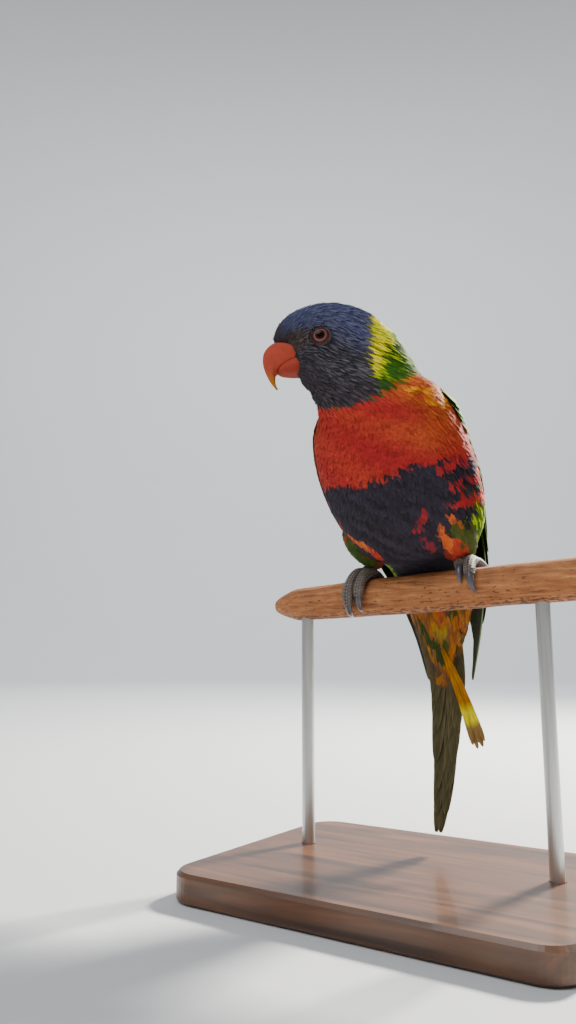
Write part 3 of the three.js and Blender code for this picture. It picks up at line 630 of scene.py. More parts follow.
def marked(p, tone, rough, marks=MARKS):
    """Lays markings over a tone at points p: each shows where the distance to its line is less than
    its radius, roughened."""
    p = leaned(p, -LEAN["most"])
    for start, end, wide, narrow, strength, name, sides in marks:
        for side in sides:
            a, b = np.array(start) * (side, 1, 1), np.array(end) * (side, 1, 1)
            k = np.clip((p - a) @ (b - a) / ((b - a) @ (b - a)), 0, 1)
            away = np.linalg.norm(p - a - k[..., None] * (b - a), axis=-1)
            tone = blend(tone, name, strength * smooth(mix(wide, narrow, k) - away + 0.7 * rough, -0.5, 0.7))
    return tone


def plumage(t, a, rng):
    """The colour of the plumage at t, a: fields bounded by the edges above, with seeded waviness so
    that neighbouring feathers mingle along them. Also how far each point is on the head, on the
    breast and on the belly."""
    a = wrapped(a)
    deg = np.degrees(a)
    side = np.abs(deg)
    wave = patchy(t, a, 3)
    fine = patchy(3 * t, 3 * a, 4)
    scatter = rng.normal(0, 1, t.shape)
    pick = rng.uniform(0, 1, t.shape)
    place = body_surface(t, a)

    # Belly: dark in the middle, wider upwards, with the flanks beyond it.
    belly_half = np.interp(t, [2.4, 3.3, 4.0, 4.5, 5.0, 5.6, 6.2], [52, 50, 54, 74, 88, 96, 104])
    inside = smooth(belly_half - side + 4 * wave + 2 * scatter, -3, 3)
    upper = blend("red", "orange", 0.4 + 0.3 * fine + 0.1 * scatter)
    lower = blend("lime", "green", smooth(fine + 0.5 * scatter, -0.6, 0.9))
    dark = blend("belly", "belly edge", 0.35 + 0.3 * fine + 0.15 * scatter)
    tone = blend(blend(lower, upper, smooth(t + 0.1 * scatter, 4.6, 4.8)), dark, inside)
    tone = marked(place, tone, 0.6 * fine + 0.5 * scatter)

    # Vent and under tail.
    vent = smooth(2.2 - t + 0.05 * scatter, -0.1, 0.1) * smooth(deg + 84 + 4 * scatter, 0, 10)
    vent = vent * smooth(106 - deg + 3 * scatter, 0, 10)
    under = blend("amber", "orange", 0.6 + 0.2 * fine + 0.1 * scatter)
    under = blend(under, "olive edge", 0.35 + 0.15 * scatter) * 0.6
    under = blend(under, "belly", 0.8 * smooth(-deg - 62 + 5 * scatter, -10, 14))
    under = blend(under, "olive", smooth(deg + 4 * scatter, 74, 86) * (1 - smooth(t, 0.9, 1.7)))
    tone = blend(tone, marked(place, under, 0.5 * scatter, UNDER_TAIL), vent)

    # Breast: red to orange, yellow-orange at the shoulders, with darker broken lines across it.
    foot = edge("breast foot", deg)
    breast = smooth(t - foot + 0.07 * wave + 0.045 * scatter, -0.03, 0.03)
    red = blend("red", "red orange", 0.5 + 0.3 * wave + 0.04 * scatter)
    red = blend(red, "orange", 0.5 * smooth(side + 12 * wave, 30, 80) * smooth(t, 6.1, 6.9))
    shoulder = smooth(side + 8 * wave, 62, 84) * smooth(t, 7.0, 7.5)
    warm = blend("orange", "amber", 0.45 + 0.2 * scatter)
    red = blend(red, warm, shoulder * smooth(fine + 0.6 * scatter, -0.4, 0.9))
    red = blend(red, "amber", shoulder * (pick > 0.72) * 0.8)
    lines = smooth(np.sin(2 * math.pi * 2.9 * (t - foot) + 1.3 * wave), 0.35, 1.0)
    red = blend(red, "bar", 0.42 * lines * smooth(fine, -0.9, 0.5))
    tone = blend(tone, red, breast * smooth(120 - side, -4, 6))

    # Back, hind neck and collar.
    green = blend("green", "deep green", 0.5 + 0.3 * wave + 0.15 * scatter)
    tone = blend(tone, green, smooth(side + 2 * scatter, 108, 116))
    neck = smooth(t - edge("breast top", deg) - 0.03 * scatter, -0.03, 0.03)
    fleck = (pick > 0.7) * smooth(side, 55, 75) * smooth(t, 8.5, 9.0)
    tone = blend(tone, blend(green, "lime", 0.8 * fleck), neck)
    collar = smooth(t - edge("collar", deg) + 0.05 * scatter + 0.05 * fine, -0.08, 0.1) * neck
    bright = blend("yellow", "lime", 0.75 * smooth(fine + 0.5 * scatter, -0.1, 1.1))
    bright = blend(bright, green, 0.6 * (pick < 0.16))
    tone = blend(tone, bright, collar * smooth(side, 52, 64))

    # Head, with the lore as a band from the bill to the eye.
    head = smooth(t - edge("head", deg) + 0.04 * scatter, -0.05, 0.05)
    crown = blend("face", "crown", smooth(side, 72, 118))
    crown = blend(crown, "throat", smooth(72 - side, 0, 40) * 0.8)
    lore = smooth(t, 12.4, 13.4) * smooth(17 - np.abs(side - mix(72, 96, (t - 12.6) / 2.1)), -2, 6)
    crown = blend(crown, "lore", np.maximum(lore, 0.75 * smooth(t, 14.3, 15.3)))
    return blend(tone, crown, head), head, breast * (1 - neck), inside


def body_colour(t, a, s, across, rng, pale):
    """Contour feathers: the field's colour, darker at the root, with a light shaft streak on the
    head's pale feathers."""
    base, head, breast, belly = plumage(t, a, rng)
    base = base * np.exp(rng.normal(0, 0.04, t.shape))[:, None]
    tint = each(base) * mix(0.92, 1.0, smooth(s, 0.1, 0.6))[..., None]
    tint = blend(tint, "bar", each(breast * rng.uniform(0.1, 0.6, t.shape)) * smooth(s, 0.8, 1.0))
    sheen = (rng.uniform(0, 1, t.shape) < 0.3) * belly * (1 - breast) * (1 - head)
    tint = blend(tint, "belly edge", 0.5 * smooth(s, 0.6, 1.0) * each(sheen))
    side = np.abs(np.degrees(wrapped(a)))
    streak = blend("throat streak", "cheek streak", smooth(side, 25, 70))
    streak = blend(streak, "streak", smooth(side, 80, 120))
    shaft = smooth(s, 0.15, 0.4) * (1 - 0.4 * smooth(s, 0.9, 1.0)) * (1 - 0.75 * np.abs(across))
    strength = np.clip(np.where(pale, 0.38, 0.08) + rng.normal(0, 0.1, t.shape), 0, 1)
    strength = strength * head * (1 - 0.6 * smooth(t, 14.0, 15.0))
    return blend(tint, each(streak), shaft * each(strength))


# Feathers.
def vane_triangles(rows, cols):
    """One closed vane: a domed top sheet, a flat strip beneath it that shares its edges, and its ends."""
    left = np.arange(rows - 1) * cols
    right = left + cols - 1
    j = np.arange(1, cols - 1)
    end = (rows - 1) * cols
    corners = (
        (left, left + cols, right + cols),
        (left, right + cols, right),
        (0 * j, j + 1, j),
        (0 * j + end, end + j, end + j + 1),
    )
    return np.concatenate([grid_triangles(rows, cols)] + [np.stack(c, -1) for c in corners])


def sheet_vane_triangles(rows, cols):
    """One closed vane with a sheet above and a sheet beneath, joined round the rim."""
    top = grid_triangles(rows, cols)
    under = rows * cols
    i, j, end = np.arange(rows - 1) * cols, np.arange(cols - 1), under - cols
    rim = ((i + cols, i), (i + cols - 1, i + 2 * cols - 1), (j, j + 1), (end + j + 1, end + j))
    a, b = (np.concatenate(ends) for ends in zip(*rim))
    walls = [np.stack([a, a + under, b], -1), np.stack([b, a + under, b + under], -1)]
    return np.concatenate([top, top[:, ::-1] + under] + walls)


def vanes_part(points, triangles, tint, bake, vane):
    """Vanes (n, ..., 3) as one part, each with the same triangles, and with the two maps."""
    start = each(np.arange(len(points)) * (points[0].size // 3))
    return {
        "points": points.reshape(-1, 3),
        "faces": (triangles + start).reshape(-1, 3),
        "tint": np.broadcast_to(tint, points.shape).reshape(-1, 3),
        "uv": {"OFBake": bake.reshape(-1, 2), "vane": vane.reshape(-1, 2)},
    }


def parameter_steps(vector, dt, da):
    """The steps of the two parameters that move a point of the surface by a vector lying in it,
    solved from the surface's own metric."""
    tt, ta, aa = dot(dt, dt), dot(dt, da), dot(da, da)
    vt, va = dot(vector, dt), dot(vector, da)
    det = np.maximum(tt * aa - ta**2, 1e-6)
    return (aa * vt - ta * va) / det, (tt * va - ta * vt) / det


def lay_vanes(surface, t, a, half, height, across, outward=1.0, nudge=None):
    """Vanes on a surface. t and a (n, rows) are each middle line's parameters, half (n, rows) its half
    width and height (n, rows, cols) how far off the surface each point lies. nudge (n, rows, cols)
    moves points along the vane."""
    p, normal, dt, da = surface_frame(surface, t, a, outward)
    ahead = unit(np.gradient(p, axis=1))
    side_t, side_a = parameter_steps(unit(np.cross(ahead, normal)), dt, da)
    x = half[..., None] * across
    tt = t[..., None] + side_t[..., None] * x
    aa = a[..., None] + side_a[..., None] * x
    if nudge is not None:
        on_t, on_a = parameter_steps(ahead, dt, da)
        tt = tt + on_t[..., None] * nudge
        aa = aa + on_a[..., None] * nudge
    q, n, _, _ = surface_frame(surface, tt, aa, outward)
    return q + n * height[..., None], x


def flow_paths(surface, t, a, length, turn, s, outward=1.0):
    """Middle lines that start at t, a and run tailwards over the surface, turned from the lie by an
    angle and walked from row to row."""
    paths = [(t, a)]
    for part in np.diff(s):
        t, a = paths[-1]
        _, normal, dt, da = surface_frame(surface, t, a, outward)
        lie = unit(-dt)
        way = lie * np.cos(turn)[:, None] + unit(np.cross(lie, normal)) * np.sin(turn)[:, None]
        step_t, step_a = parameter_steps(way * (length * part)[:, None], dt, da)
        paths.append((t + step_t, a + step_a))
    return (np.stack(rows, 1) for rows in zip(*paths))


def staggered_roots(surface, t_range, a_range, setting, rng, jitter=0.3):
    """Roots in rows across the surface. Rows lie a set distance apart on average, and so do the roots
    of a row by arc length, each row set half a step aside from the last, with a little seeded
    scatter."""
    spots = np.linspace(a_range[0], a_range[1], 181)
    t, ts = t_range[1], []
    while t > t_range[0]:
        ts.append(t)
        there, below = (surface(np.full_like(spots, at), spots) for at in (t, t - 0.02))
        t -= measure(setting, "row", t) * 0.02 / np.linalg.norm(there - below, axis=-1).mean()
    all_t, all_a = [], []
    for k, t in enumerate(ts):
        run = run_along(surface(np.full_like(spots, t), spots))
        count = max(int(round(run[-1] / measure(setting, "apart", t))), 1)
        place = (np.arange(count) + 0.25 + 0.5 * (k % 2) + rng.uniform(-jitter, jitter, count)) / count
        all_a.append(np.interp(np.mod(place, 1) * run[-1], run, spots))
        gap = (ts[k - 1] - t) if k else 0.05
        all_t.append(t + rng.uniform(-jitter, jitter, count) * gap)
    return np.concatenate(all_t), np.concatenate(all_a)


def bake_map(t, a, across, s, span, margin):
    """Each vane as a patch 0.003 across at its root's place on the unwrapped skin, whose whole span
    fills the map but for a margin."""
    (t0, t1), (a0, a1) = span
    root = np.stack([(a - a0) / (a1 - a0), (t - t0) / (t1 - t0)], -1) * (1 - 2 * margin) + margin
    patch = np.stack(np.broadcast_arrays(across[None, :] * 0.0014, (s[:, None] - 0.5) * 0.0028), -1)
    return np.clip(root[:, None, None, :] + patch[None], 0, 1)


def contour_vanes(surface, t, a, length, half, setting, lift, colour, span, rng, outward, swell=None):
    """One coat of small feathers. lift holds the height off the surface at the root and at the tip,
    swell(t, a) is added to both, and colour(t, a, s, across, rng) gives each point's tint from where
    the vane's free end lies."""
    s, widths, across = (np.array(row, float) for row in FORMS[setting["form"]])
    n, rows, cols = len(t), len(s), len(across)
    ragged = setting["ragged"]
    turn = rng.normal(0, setting["turn"], t.shape)
    path_t, path_a = flow_paths(surface, t, a, length, turn, s, outward)
    low, high = lift
    rise = low[:, None] + (high - low)[:, None] * s**0.8
    if swell:
        rise = rise + swell(path_t, path_a)
    height = rise[..., None] + setting["dome"] * widths[:, None] * (1 - across**2)
    wide = half[:, None] * widths * (1 + rng.uniform(-ragged, ragged, (n, rows)))
    fray = smooth(s, 0.55, 1.0)[:, None] * rng.uniform(-1, 1, (n, rows, cols))
    round_tip = -0.35 * smooth(s, 0.6, 1.0)[:, None] * across**2
    nudge = each(half) * (round_tip + ragged * 2.2 * fray)
    points, x = lay_vanes(surface, path_t, path_a, wide, height, across, outward, nudge)
    vane = np.stack(np.broadcast_arrays(x, (length[:, None] * s)[..., None]), -1)
    tint = colour(path_t[:, -2], path_a[:, -2], s[:, None], across, rng)
    bake = bake_map(t, a, across, s, span, 0.02)
    return vanes_part(points, vane_triangles(rows, cols), tint, bake, vane)


# Shapes of a contour feather: rows along it, its width at each, and places across it.
FIVE, THREE = (-1, -0.5, 0, 0.5, 1), (-1, 0, 1)
FORMS = {
    "broad": ((0, 0.25, 0.5, 0.7, 0.85, 0.95, 1), (0.35, 0.72, 0.95, 1, 0.9, 0.66, 0.3), FIVE),
    "long": ((0, 0.25, 0.5, 0.7, 0.85, 0.95, 1), (0.5, 0.85, 1, 0.9, 0.66, 0.4, 0.12), FIVE),
    "fine": ((0, 0.35, 0.65, 0.87, 1), (0.55, 0.95, 1, 0.8, 0.3), THREE),
    "strand": ((0, 0.3, 0.6, 0.85, 1), (0.6, 1, 0.95, 0.66, 0.12), THREE),
}

# How each coat is set: the form of its feathers, then by station along the surface the distance
# between rows and between neighbours, the length and the half width. Last come the height of the tip
# and how uneven that is, the dome, how far a feather may turn from the lie and how ragged its edge is.
SETTING = {
    "strand": {
        "form": "strand", "at": [8, 10, 11, 12, 13, 14, 15, 16],
        "row": [1.8, 1.6, 1.45, 1.3, 1.1, 0.85, 0.65, 0.55],
        "apart": [1.1, 0.85, 0.75, 0.72, 0.66, 0.56, 0.46, 0.4],
        "length": [8.0, 7.0, 6.4, 5.8, 4.6, 3.4, 2.2, 1.6],
        "half": [0.75, 0.44, 0.35, 0.31, 0.28, 0.26, 0.24, 0.22],
        "tip": 0.3, "dome": 0.22, "turn": 0.1, "uneven": 0.16, "ragged": 0.05,
    },
    "fine": {
        "form": "fine", "at": [0, 3, 6, 9], "row": [1.8, 1.5, 1.3, 1.25], "apart": [1.5, 1.35, 1.2, 1.1],
        "length": [11, 9.5, 8.5, 7.5], "half": [1.25, 1.15, 1.05, 0.9],
        "tip": 0.16, "dome": 0.03, "turn": 0.09, "uneven": 0.04, "ragged": 0.1,
    },
    "long": {
        "form": "long", "at": [0, 3], "row": [2.6, 2.0], "apart": [1.7, 1.6],
        "length": [19, 13], "half": [1.3, 1.3],
        "tip": 0.4, "dome": 0.16, "turn": 0.07, "uneven": 0.14, "ragged": 0.12,
    },
    "broad": {
        "form": "broad", "at": [0, 1.5, 3, 6, 9],
        "row": [3.2, 2.85, 2.5, 2.1, 1.6], "apart": [2.3, 2.15, 2.0, 1.8, 1.5],
        "length": [23, 16, 13, 10, 7.5], "half": [1.9, 1.825, 1.75, 1.6, 1.3],
        "tip": 0.35, "dome": 0.12, "turn": 0.08, "uneven": 0.08, "ragged": 0.09,
    },
    "thigh": {
        "form": "fine", "at": [0, 3], "row": [1.2, 1.2], "apart": [1.1, 1.1],
        "length": [4.0, 8.5], "half": [0.7, 1.1],
        "tip": 0.25, "dome": 0.12, "turn": 0.13, "uneven": 0.14, "ragged": 0.1,
    },
    "shoulder": {
        "form": "broad", "at": [0, 2.2], "row": [1.7, 2.3], "apart": [1.8, 2.5], "half": [1.6, 2.1],
        "tip": 0.25, "dome": 0.14, "turn": 0.1, "uneven": 0.08, "ragged": 0.06,
    },
}
# How deep the body's coat is, by station.
COAT_DEPTH = {"at": [0, 2, 8, 9.5, 11, 13, 15, 16], "depth": [1.2, 2.0, 2.2, 1.9, 1.3, 0.9, 0.6, 0.5]}


def measure(setting, name, t):
    """A setting's measure at a station."""
    return np.interp(t, setting["at"], setting[name])


def swell(t, a):
    """How much further the coat stands off where the side feathers lap over the wing's edge, where
    the neck's hang over the breast, beside the vent and along the back."""
    a = wrapped(a)
    side = np.abs(np.degrees(a))
    flank = between(side, 60, 90, 110, 117) * between(t, 3.4, 4.6, 7.9, 8.7) * np.where(a > 0, 4.5, 1.9)
    throat = (1 - smooth(side, 55, 85)) * between(t, 8.0, 8.7, 9.6, 10.8)
    nape = smooth(side, 95, 130) * between(t, 8.0, 8.9, 9.5, 10.6)
    vent = between(a, 0.8, 1.4, 2.1, 2.5) * between(t, 0.4, 1.5, 2.2, 3.2)
    back = smooth(side, 116, 140) * between(t, 2.8, 4.2, 7.9, 8.6)
    return flank + 2.0 * throat + 2.2 * nape + 2.6 * vent + 3.2 * back


# Feathers grow no nearer than this to the middle of an eye, and reach no nearer than the second.
EYE_BARE, EYE_CLEAR = 4.2, 4.8


def clear_of_eyes(t, a, length):
    """Shortens the feathers that would reach over an eye, and drops those that grow on it or past the
    bill's edge."""
    p = body_surface(t, a)
    way = unit(body_surface(t - 0.02, a) - p)
    keep = t < edge("bill", np.degrees(wrapped(a)))
    for seat, _ in EYE_SEATS.values():
        to_eye = seat - p
        apart = np.linalg.norm(to_eye, axis=-1)
        keep &= apart > EYE_BARE
        on = dot(to_eye, way)
        miss = np.sqrt(np.maximum(apart**2 - on**2, 0))
        room = on - np.sqrt(np.maximum(EYE_CLEAR**2 - miss**2, 0))
        over = (on > 0) & (miss < EYE_CLEAR) & (apart < 16)
        length = np.where(over, np.minimum(length, np.maximum(room, 0.9)), length)
    return keep, length


def body_coat(name, t_range, degrees_range, slot, material, kind):
    """One field of contour feathers over the body's surface."""
    rng = np.random.default_rng(SEED + int(t_range[0] * 100) + abs(int(degrees_range[0])))
    a_range = tuple(math.radians(d) for d in degrees_range)
    setting = SETTING[kind]
    t, a = staggered_roots(body_surface, t_range, a_range, setting, rng)
    length = measure(setting, "length", t) * np.exp(rng.normal(0, 0.09, t.shape))
    if kind == "long":
        # Towards the tail's root the outermost ones end before they would reach round it.
        outer = smooth(np.abs(np.degrees(a)), 50, 80)
        length = length * mix(1, 0.6, outer) * mix(1, 0.3, outer * (1 - smooth(t, 1.2, 2.6)))
    keep, length = clear_of_eyes(t, a, length)
    t, a, length = t[keep], a[keep], length[keep]
    pale = rng.uniform(0, 1, t.shape) < 0.36
    high = setting["tip"] + rng.normal(0, setting["uneven"], t.shape)
    if kind == "strand":
        high = high + np.where(pale, 0.16, -0.04)

    def colour(t, a, s, across, rng):
        return body_colour(t, a, s, across, rng, pale)

    half = measure(setting, "half", t) * np.exp(rng.normal(0, 0.1, t.shape))
    lift = (-0.55 * measure(COAT_DEPTH, "depth", t), high)
    part = contour_vanes(
        body_surface, t, a, length, half, setting, lift, colour, (t_range, a_range), rng, BODY_OUT, swell
    )
    make_piece(name, part, material, slot)


body_coat("coat_face", (12.2, 15.9), (-180, 180), "head_feathers", HEAD_FEATHER, "strand")
body_coat("coat_head", (HEAD_FROM, 12.2), (-180, 180), "head_feathers", HEAD_FEATHER, "strand")
body_coat("coat_neck", (8.45, HEAD_FROM), (-180, 180), "neck_feathers", HEAD_FEATHER, "strand")
body_coat("coat_breast", (6.1, 8.6), (-118, 118), "body_feathers", BODY_FEATHER, "fine")
body_coat("coat_belly", (3.0, 6.1), (-118, 118), "body_feathers", BODY_FEATHER, "fine")
body_coat("coat_vent", (0.5, 3.0), (-118, 118), "body_feathers", COVERT_FEATHER, "long")
body_coat("coat_back", (0.5, 8.6), (112, 248), "body_feathers", BODY_FEATHER, "broad")


def skin():
    """The body's surface sunk by the coat's depth, and the two thighs rooted in it."""
    t, a = (grid.T for grid in np.meshgrid(np.linspace(0.02, 15.98, 260), turns(160)))
    p, normal, _, _ = surface_frame(body_surface, t, a, BODY_OUT)
    rings = p + normal * (0.7 * swell(t, a) - measure(COAT_DEPTH, "depth", t))[..., None]
    base = plumage(t.ravel(), a.ravel(), np.random.default_rng(SEED))[0]
    uv = np.stack([a.ravel() / (2 * math.pi), t.ravel() / 16], -1)
    # Painted shade: the skin takes the plumage's colour darkened, and its ends darker still, so that it
    # reads as the coat's shaded depth where it shows.
    tint = np.concatenate([base * 0.8, base[:1] * 0.5, base[-1:] * 0.5])
    parts = [tube_part(rings, tint, OFBake=np.concatenate([uv, uv[:1], uv[-1:]]))]
    t, a = (grid.T for grid in np.meshgrid(np.linspace(2.9, 0.0, 30), turns(40)))
    for side in SIDES.values():
        q = thigh_surface(side)(t, a)
        middle = q.mean(1, keepdims=True)
        # Painted shade: the flesh under the thigh's coat is a dark orange.
        flesh = tube_part(middle + (q - middle) * 0.84, COLOUR["orange"] * 0.4)
        flesh["uv"] = {"OFBake": np.full((len(flesh["points"]), 2), 0.5)}
        parts.append(flesh)
    nodes = ("head", "neck", "torso", "thigh_left", "thigh_right")
    make_piece("skin", gathered(parts), BARE_SKIN, "body_feathers", *nodes)


skin()

# Wings. Rows along a flight feather, and places across it.
FLIGHT_S = np.array([0, 0.12, 0.25, 0.38, 0.5, 0.6, 0.7, 0.78, 0.85, 0.9, 0.94, 0.97, 0.99, 1.0])
FLIGHT_ACROSS = np.array([-1, -0.66, -0.33, 0, 0.33, 0.66, 1.0])
# What the wing's map spans, tailwards and, for the small coverts, the other way.
WING_SPAN = ((-0.5, 8.5), (-0.3, 1.3))
FLIPPED_SPAN = ((-8.5, 0.5), (-0.3, 1.3))
# How much a tint is that of the under sheet, for the upper sheet and the under one.
UNDER_SHEET = np.array([0.0, 1.0])[:, None, None]

# Tiers of the wing: number of feathers, half width, height off the body at the root and at the tip,
# how much higher each next one lies, how far its lower edge is raised and where its tip starts to
# round off. Then the first and last feather's root and tip, as station and share of the wing's width,
# and the colours.
WING_TIERS = [
    {"count": 9, "half": 4.0, "rise": (0.4, 0.6), "layer": 0.1, "tilt": 0.06, "tip_from": 0.55,
     "roots": [[3.2, 0.12], [3.4, 0.46]], "tips": [[8, 0.2], [6.6, 0.8]],
     "base": "deep green", "web": "quill", "rim": "olive edge"},
    {"count": 9, "half": 4.2, "rise": (1, 2.2), "layer": 0.05, "tilt": 0.13, "tip_from": 0.66,
     "roots": [[2.6, 0.34], [2.4, 0.84]], "tips": [[6.6, 0.4], [5.5, 0.96]],
     "base": "green", "web": "quill", "rim": "lime"},
    {"count": 6, "half": 2.6, "rise": (1.2, 2.2), "layer": 0.05, "tilt": 0.12, "tip_from": 0.55,
     "roots": [[1.9, 0.06], [1.9, 0.3]], "tips": [[4.7, 0.04], [4.4, 0.34]],
     "base": "deep green", "web": "quill", "rim": "lime"},
    {"count": 10, "half": 3.1, "rise": (1.3, 2.9), "layer": 0, "tilt": 0.15, "tip_from": 0.55,
     "roots": [[1.7, 0.14], [1.7, 0.9]], "tips": [[4.4, 0.2], [3.7, 0.98]],
     "base": "green", "web": "deep green", "rim": "lime"},
    {"count": 12, "half": 2.6, "rise": (1.2, 3.4), "layer": 0, "tilt": 0.13, "tip_from": 0.5,
     "roots": [[0.9, 0.08], [0.9, 0.94]], "tips": [[3.2, 0.08], [2.7, 1.0]],
     "base": "green", "web": "deep green", "rim": "lime"},
]


def flight_width(s, tip_from, root):
    """Narrow at the root, full from a quarter on, then rounding off to the tip."""
    past = np.maximum(s - tip_from, 0) / (1.005 - tip_from)
    return mix(root, 1, smooth(s, 0, 0.25)) * np.sqrt(np.maximum(1 - past**2.4, 0.0))


def flight_vanes(surface, t, a, half, height, tilt, thick, colour, span, outward, tip_from, root=0.55):
    """Long feathers: a cambered vane with a raised shaft, an upper and an under sheet. The tint comes
    from colour(s, across) for all of them, both sheets, along and across."""
    s, across = FLIGHT_S[:, None], FLIGHT_ACROSS
    rows, cols = len(s), len(across)
    wide = half[:, None] * flight_width(FLIGHT_S, tip_from, root)
    middle = height[..., None] + 0.09 * each(half) * (1 - across**2) + tilt * wide[..., None] * across
    shaft = 0.16 * bulge(across, 0, 0.12) * (1 - 0.8 * s)
    thin = thick * (1 - 0.5 * s) * (1 - 0.7 * across**2) + 0.05
    upper, x = lay_vanes(surface, t, a, wide, middle + shaft, across, outward)
    lower, _ = lay_vanes(surface, t, a, wide, middle - 0.6 * shaft - thin, across, outward)
    points = np.stack([upper, lower], 1)
    run = np.stack([run_along(line) for line in upper[:, :, cols // 2]])
    vane = np.stack(np.broadcast_arrays(x, run[..., None]), -1)
    bake = bake_map(t[:, 0], a[:, 0], across, FLIGHT_S, span, 0.05)
    bake, vane = (np.stack([sheet, sheet], 1) for sheet in (bake, vane))
    return vanes_part(points, sheet_vane_triangles(rows, cols), colour(s, across), bake, vane)


def tier_colour(tier, raised, rng):
    """A tier's colours: the web on the raised side, which shows, the darker covered web, a thin light
    rim, a dark shaft and a dull under sheet."""

    def colour(s, across):
        vary = np.exp(rng.normal(0, 0.12, tier["count"]))[:, None, None, None, None]
        tint = blend(COLOUR[tier["base"]] * vary, tier["web"], 0.85 * smooth(-raised * across, -0.1, 0.5))
        border = np.maximum(smooth(raised * across, 0.6, 1.0), smooth(s, 0.93, 1.0))
        tint = blend(tint, tier["rim"], 0.22 * border)
        tint = blend(tint, "quill", 0.5 * bulge(across, 0, 0.15))
        return blend(tint, "quill edge", 0.75 * UNDER_SHEET)

    return colour


def wing_tier(surface, side, tier, outward, rng):
    """One tier of flight feathers or coverts, fanned out between its first and its last."""
    order = np.linspace(0, 1, tier["count"])[:, None]
    root, tip = (mix(*np.array(tier[ends]), order) for ends in ("roots", "tips"))
    away = tip - root
    share = root[:, 1:] + away[:, 1:] * FLIGHT_S**1.2 + rng.normal(0, 0.006, order.shape)
    t = root[:, :1] + away[:, :1] * FLIGHT_S + rng.normal(0, 0.05, order.shape) * FLIGHT_S
    low, high = tier["rise"]
    lift = (high - low + tier["layer"] * np.arange(tier["count"]))[:, None]
    half = tier["half"] * np.exp(rng.normal(0, 0.04, tier["count"]))
    raised = -side * outward
    return flight_vanes(
        surface, t, share, half, low + lift * smooth(FLIGHT_S, 0, 0.5), raised * tier["tilt"], 0.3,
        tier_colour(tier, raised, rng), WING_SPAN, outward, tier["tip_from"],
    )


def small_coverts(surface, side, outward, rng):
    """Small coverts over the shoulder, in rows like the body's feathers, some rimmed yellow and lime
    along the wing's edge, far more on the left wing, where the extra is painted sunlight."""
    setting = SETTING["shoulder"]
    t, share = staggered_roots(surface, (-0.1, 2.3), (-0.04, 1.05), setting, rng)
    length = np.interp(t, [-0.3, 2.2], [6.5, 10]) * np.exp(rng.normal(0, 0.08, t.shape))

    def colour(t, a, s, across, rng):
        pick = rng.uniform(0, 1, t.shape)
        base = blend(blend("green", "deep green", pick), "lime", 0.3 * smooth(pick, 0.8, 0.9))
        # Painted sunlight: the rims are the wing edge's own colour on both wings, but far stronger on the
        # left wing, the sun's side.
        rim = (1 - smooth(a, 0.05, 0.24)) * (1 - smooth(np.abs(t), 0.8, 1.8)) * (0.45 if side > 0 else 0.1)
        base = blend(base, blend("lime", "yellow", pick), rim * (0.4 + 0.6 * pick))
        tint = each(base) * mix(0.5, 1.0, smooth(s, 0.1, 0.7))[..., None]
        return blend(tint, "lime", 0.2 * smooth(s, 0.8, 1.0))

    # On the wing the stations count tailwards, so the lie runs the other way.
    def flipped(t, share):
        return surface(-t, share)

    base = np.interp(t, [0, 2.2], [2.4, 3.9]) + (3.0 if side > 0 else 0.0) * bulge(t, 0.3, 0.75)
    lift = (base - 1.4, base + rng.normal(setting["tip"], setting["uneven"], t.shape))
    half = measure(setting, "half", t)
    return contour_vanes(
        flipped, -t, share, length, half, setting, lift, colour, FLIPPED_SPAN, rng, -outward
    )


def wing_pad(surface, outward):
    """The pad of the arm under the feathers: half an oval on the envelope, thin at its two ends."""
    rows, cols = 60, 24
    t = np.linspace(0, 5.2, rows)
    end = np.minimum(1, np.sqrt((np.arange(rows) / rows * 9 + 0.6) / 2.5))[:, None]
    thick = along(np.array([1.6, 2.6, 2.4, 1.9, 1.4, 1.0, 0.8, 0.8, 0.8]), t)[:, None] * end
    across = np.linspace(0, 1, cols)
    share = 0.5 + (across - 0.5) * mix(0.5, 1.0, end)
    out = 0.5 + (thick - 0.5) * np.sqrt(np.sin(math.pi * across))
    p, normal, _, _ = surface_frame(surface, t[:, None] + 0 * share, share, outward)
    # Painted shade: the pad under the feathers is a darkened deep green.
    pad = tube_part(np.concatenate([p + normal * out[..., None], p[:, ::-1]], 1), COLOUR["deep green"] * 0.6)
    flat = np.zeros((len(pad["points"]), 2))
    pad["uv"] = {"OFBake": flat + 0.01, "vane": flat}
    return pad


def wing(word, side):
    """A folded wing: tiers of flight feathers and coverts on its envelope, small coverts over the
    shoulder, and a pad beneath them."""
    surface = wing_surface(side)
    outward = outward_sign(surface, 3.0, 0.5, (side, 0.8, 0.2))
    rng = np.random.default_rng(SEED + 50 + side)
    parts = [wing_tier(surface, side, tier, outward, rng) for tier in WING_TIERS]
    parts += [small_coverts(surface, side, outward, rng), wing_pad(surface, outward)]
    make_piece("feathers_wing_" + word, gathered(parts), WING_FEATHER, "wing_feathers", "wing_" + word)


for word, side in SIDES.items():
    wing(word, side)

# Tail: where each pair of feathers ends, from the longest, and the map's span.
TAIL_ENDS = [-113, -106, -96.5, -85, -72, -59]
TAIL_SPAN = ((0, 1), (-8, 8))


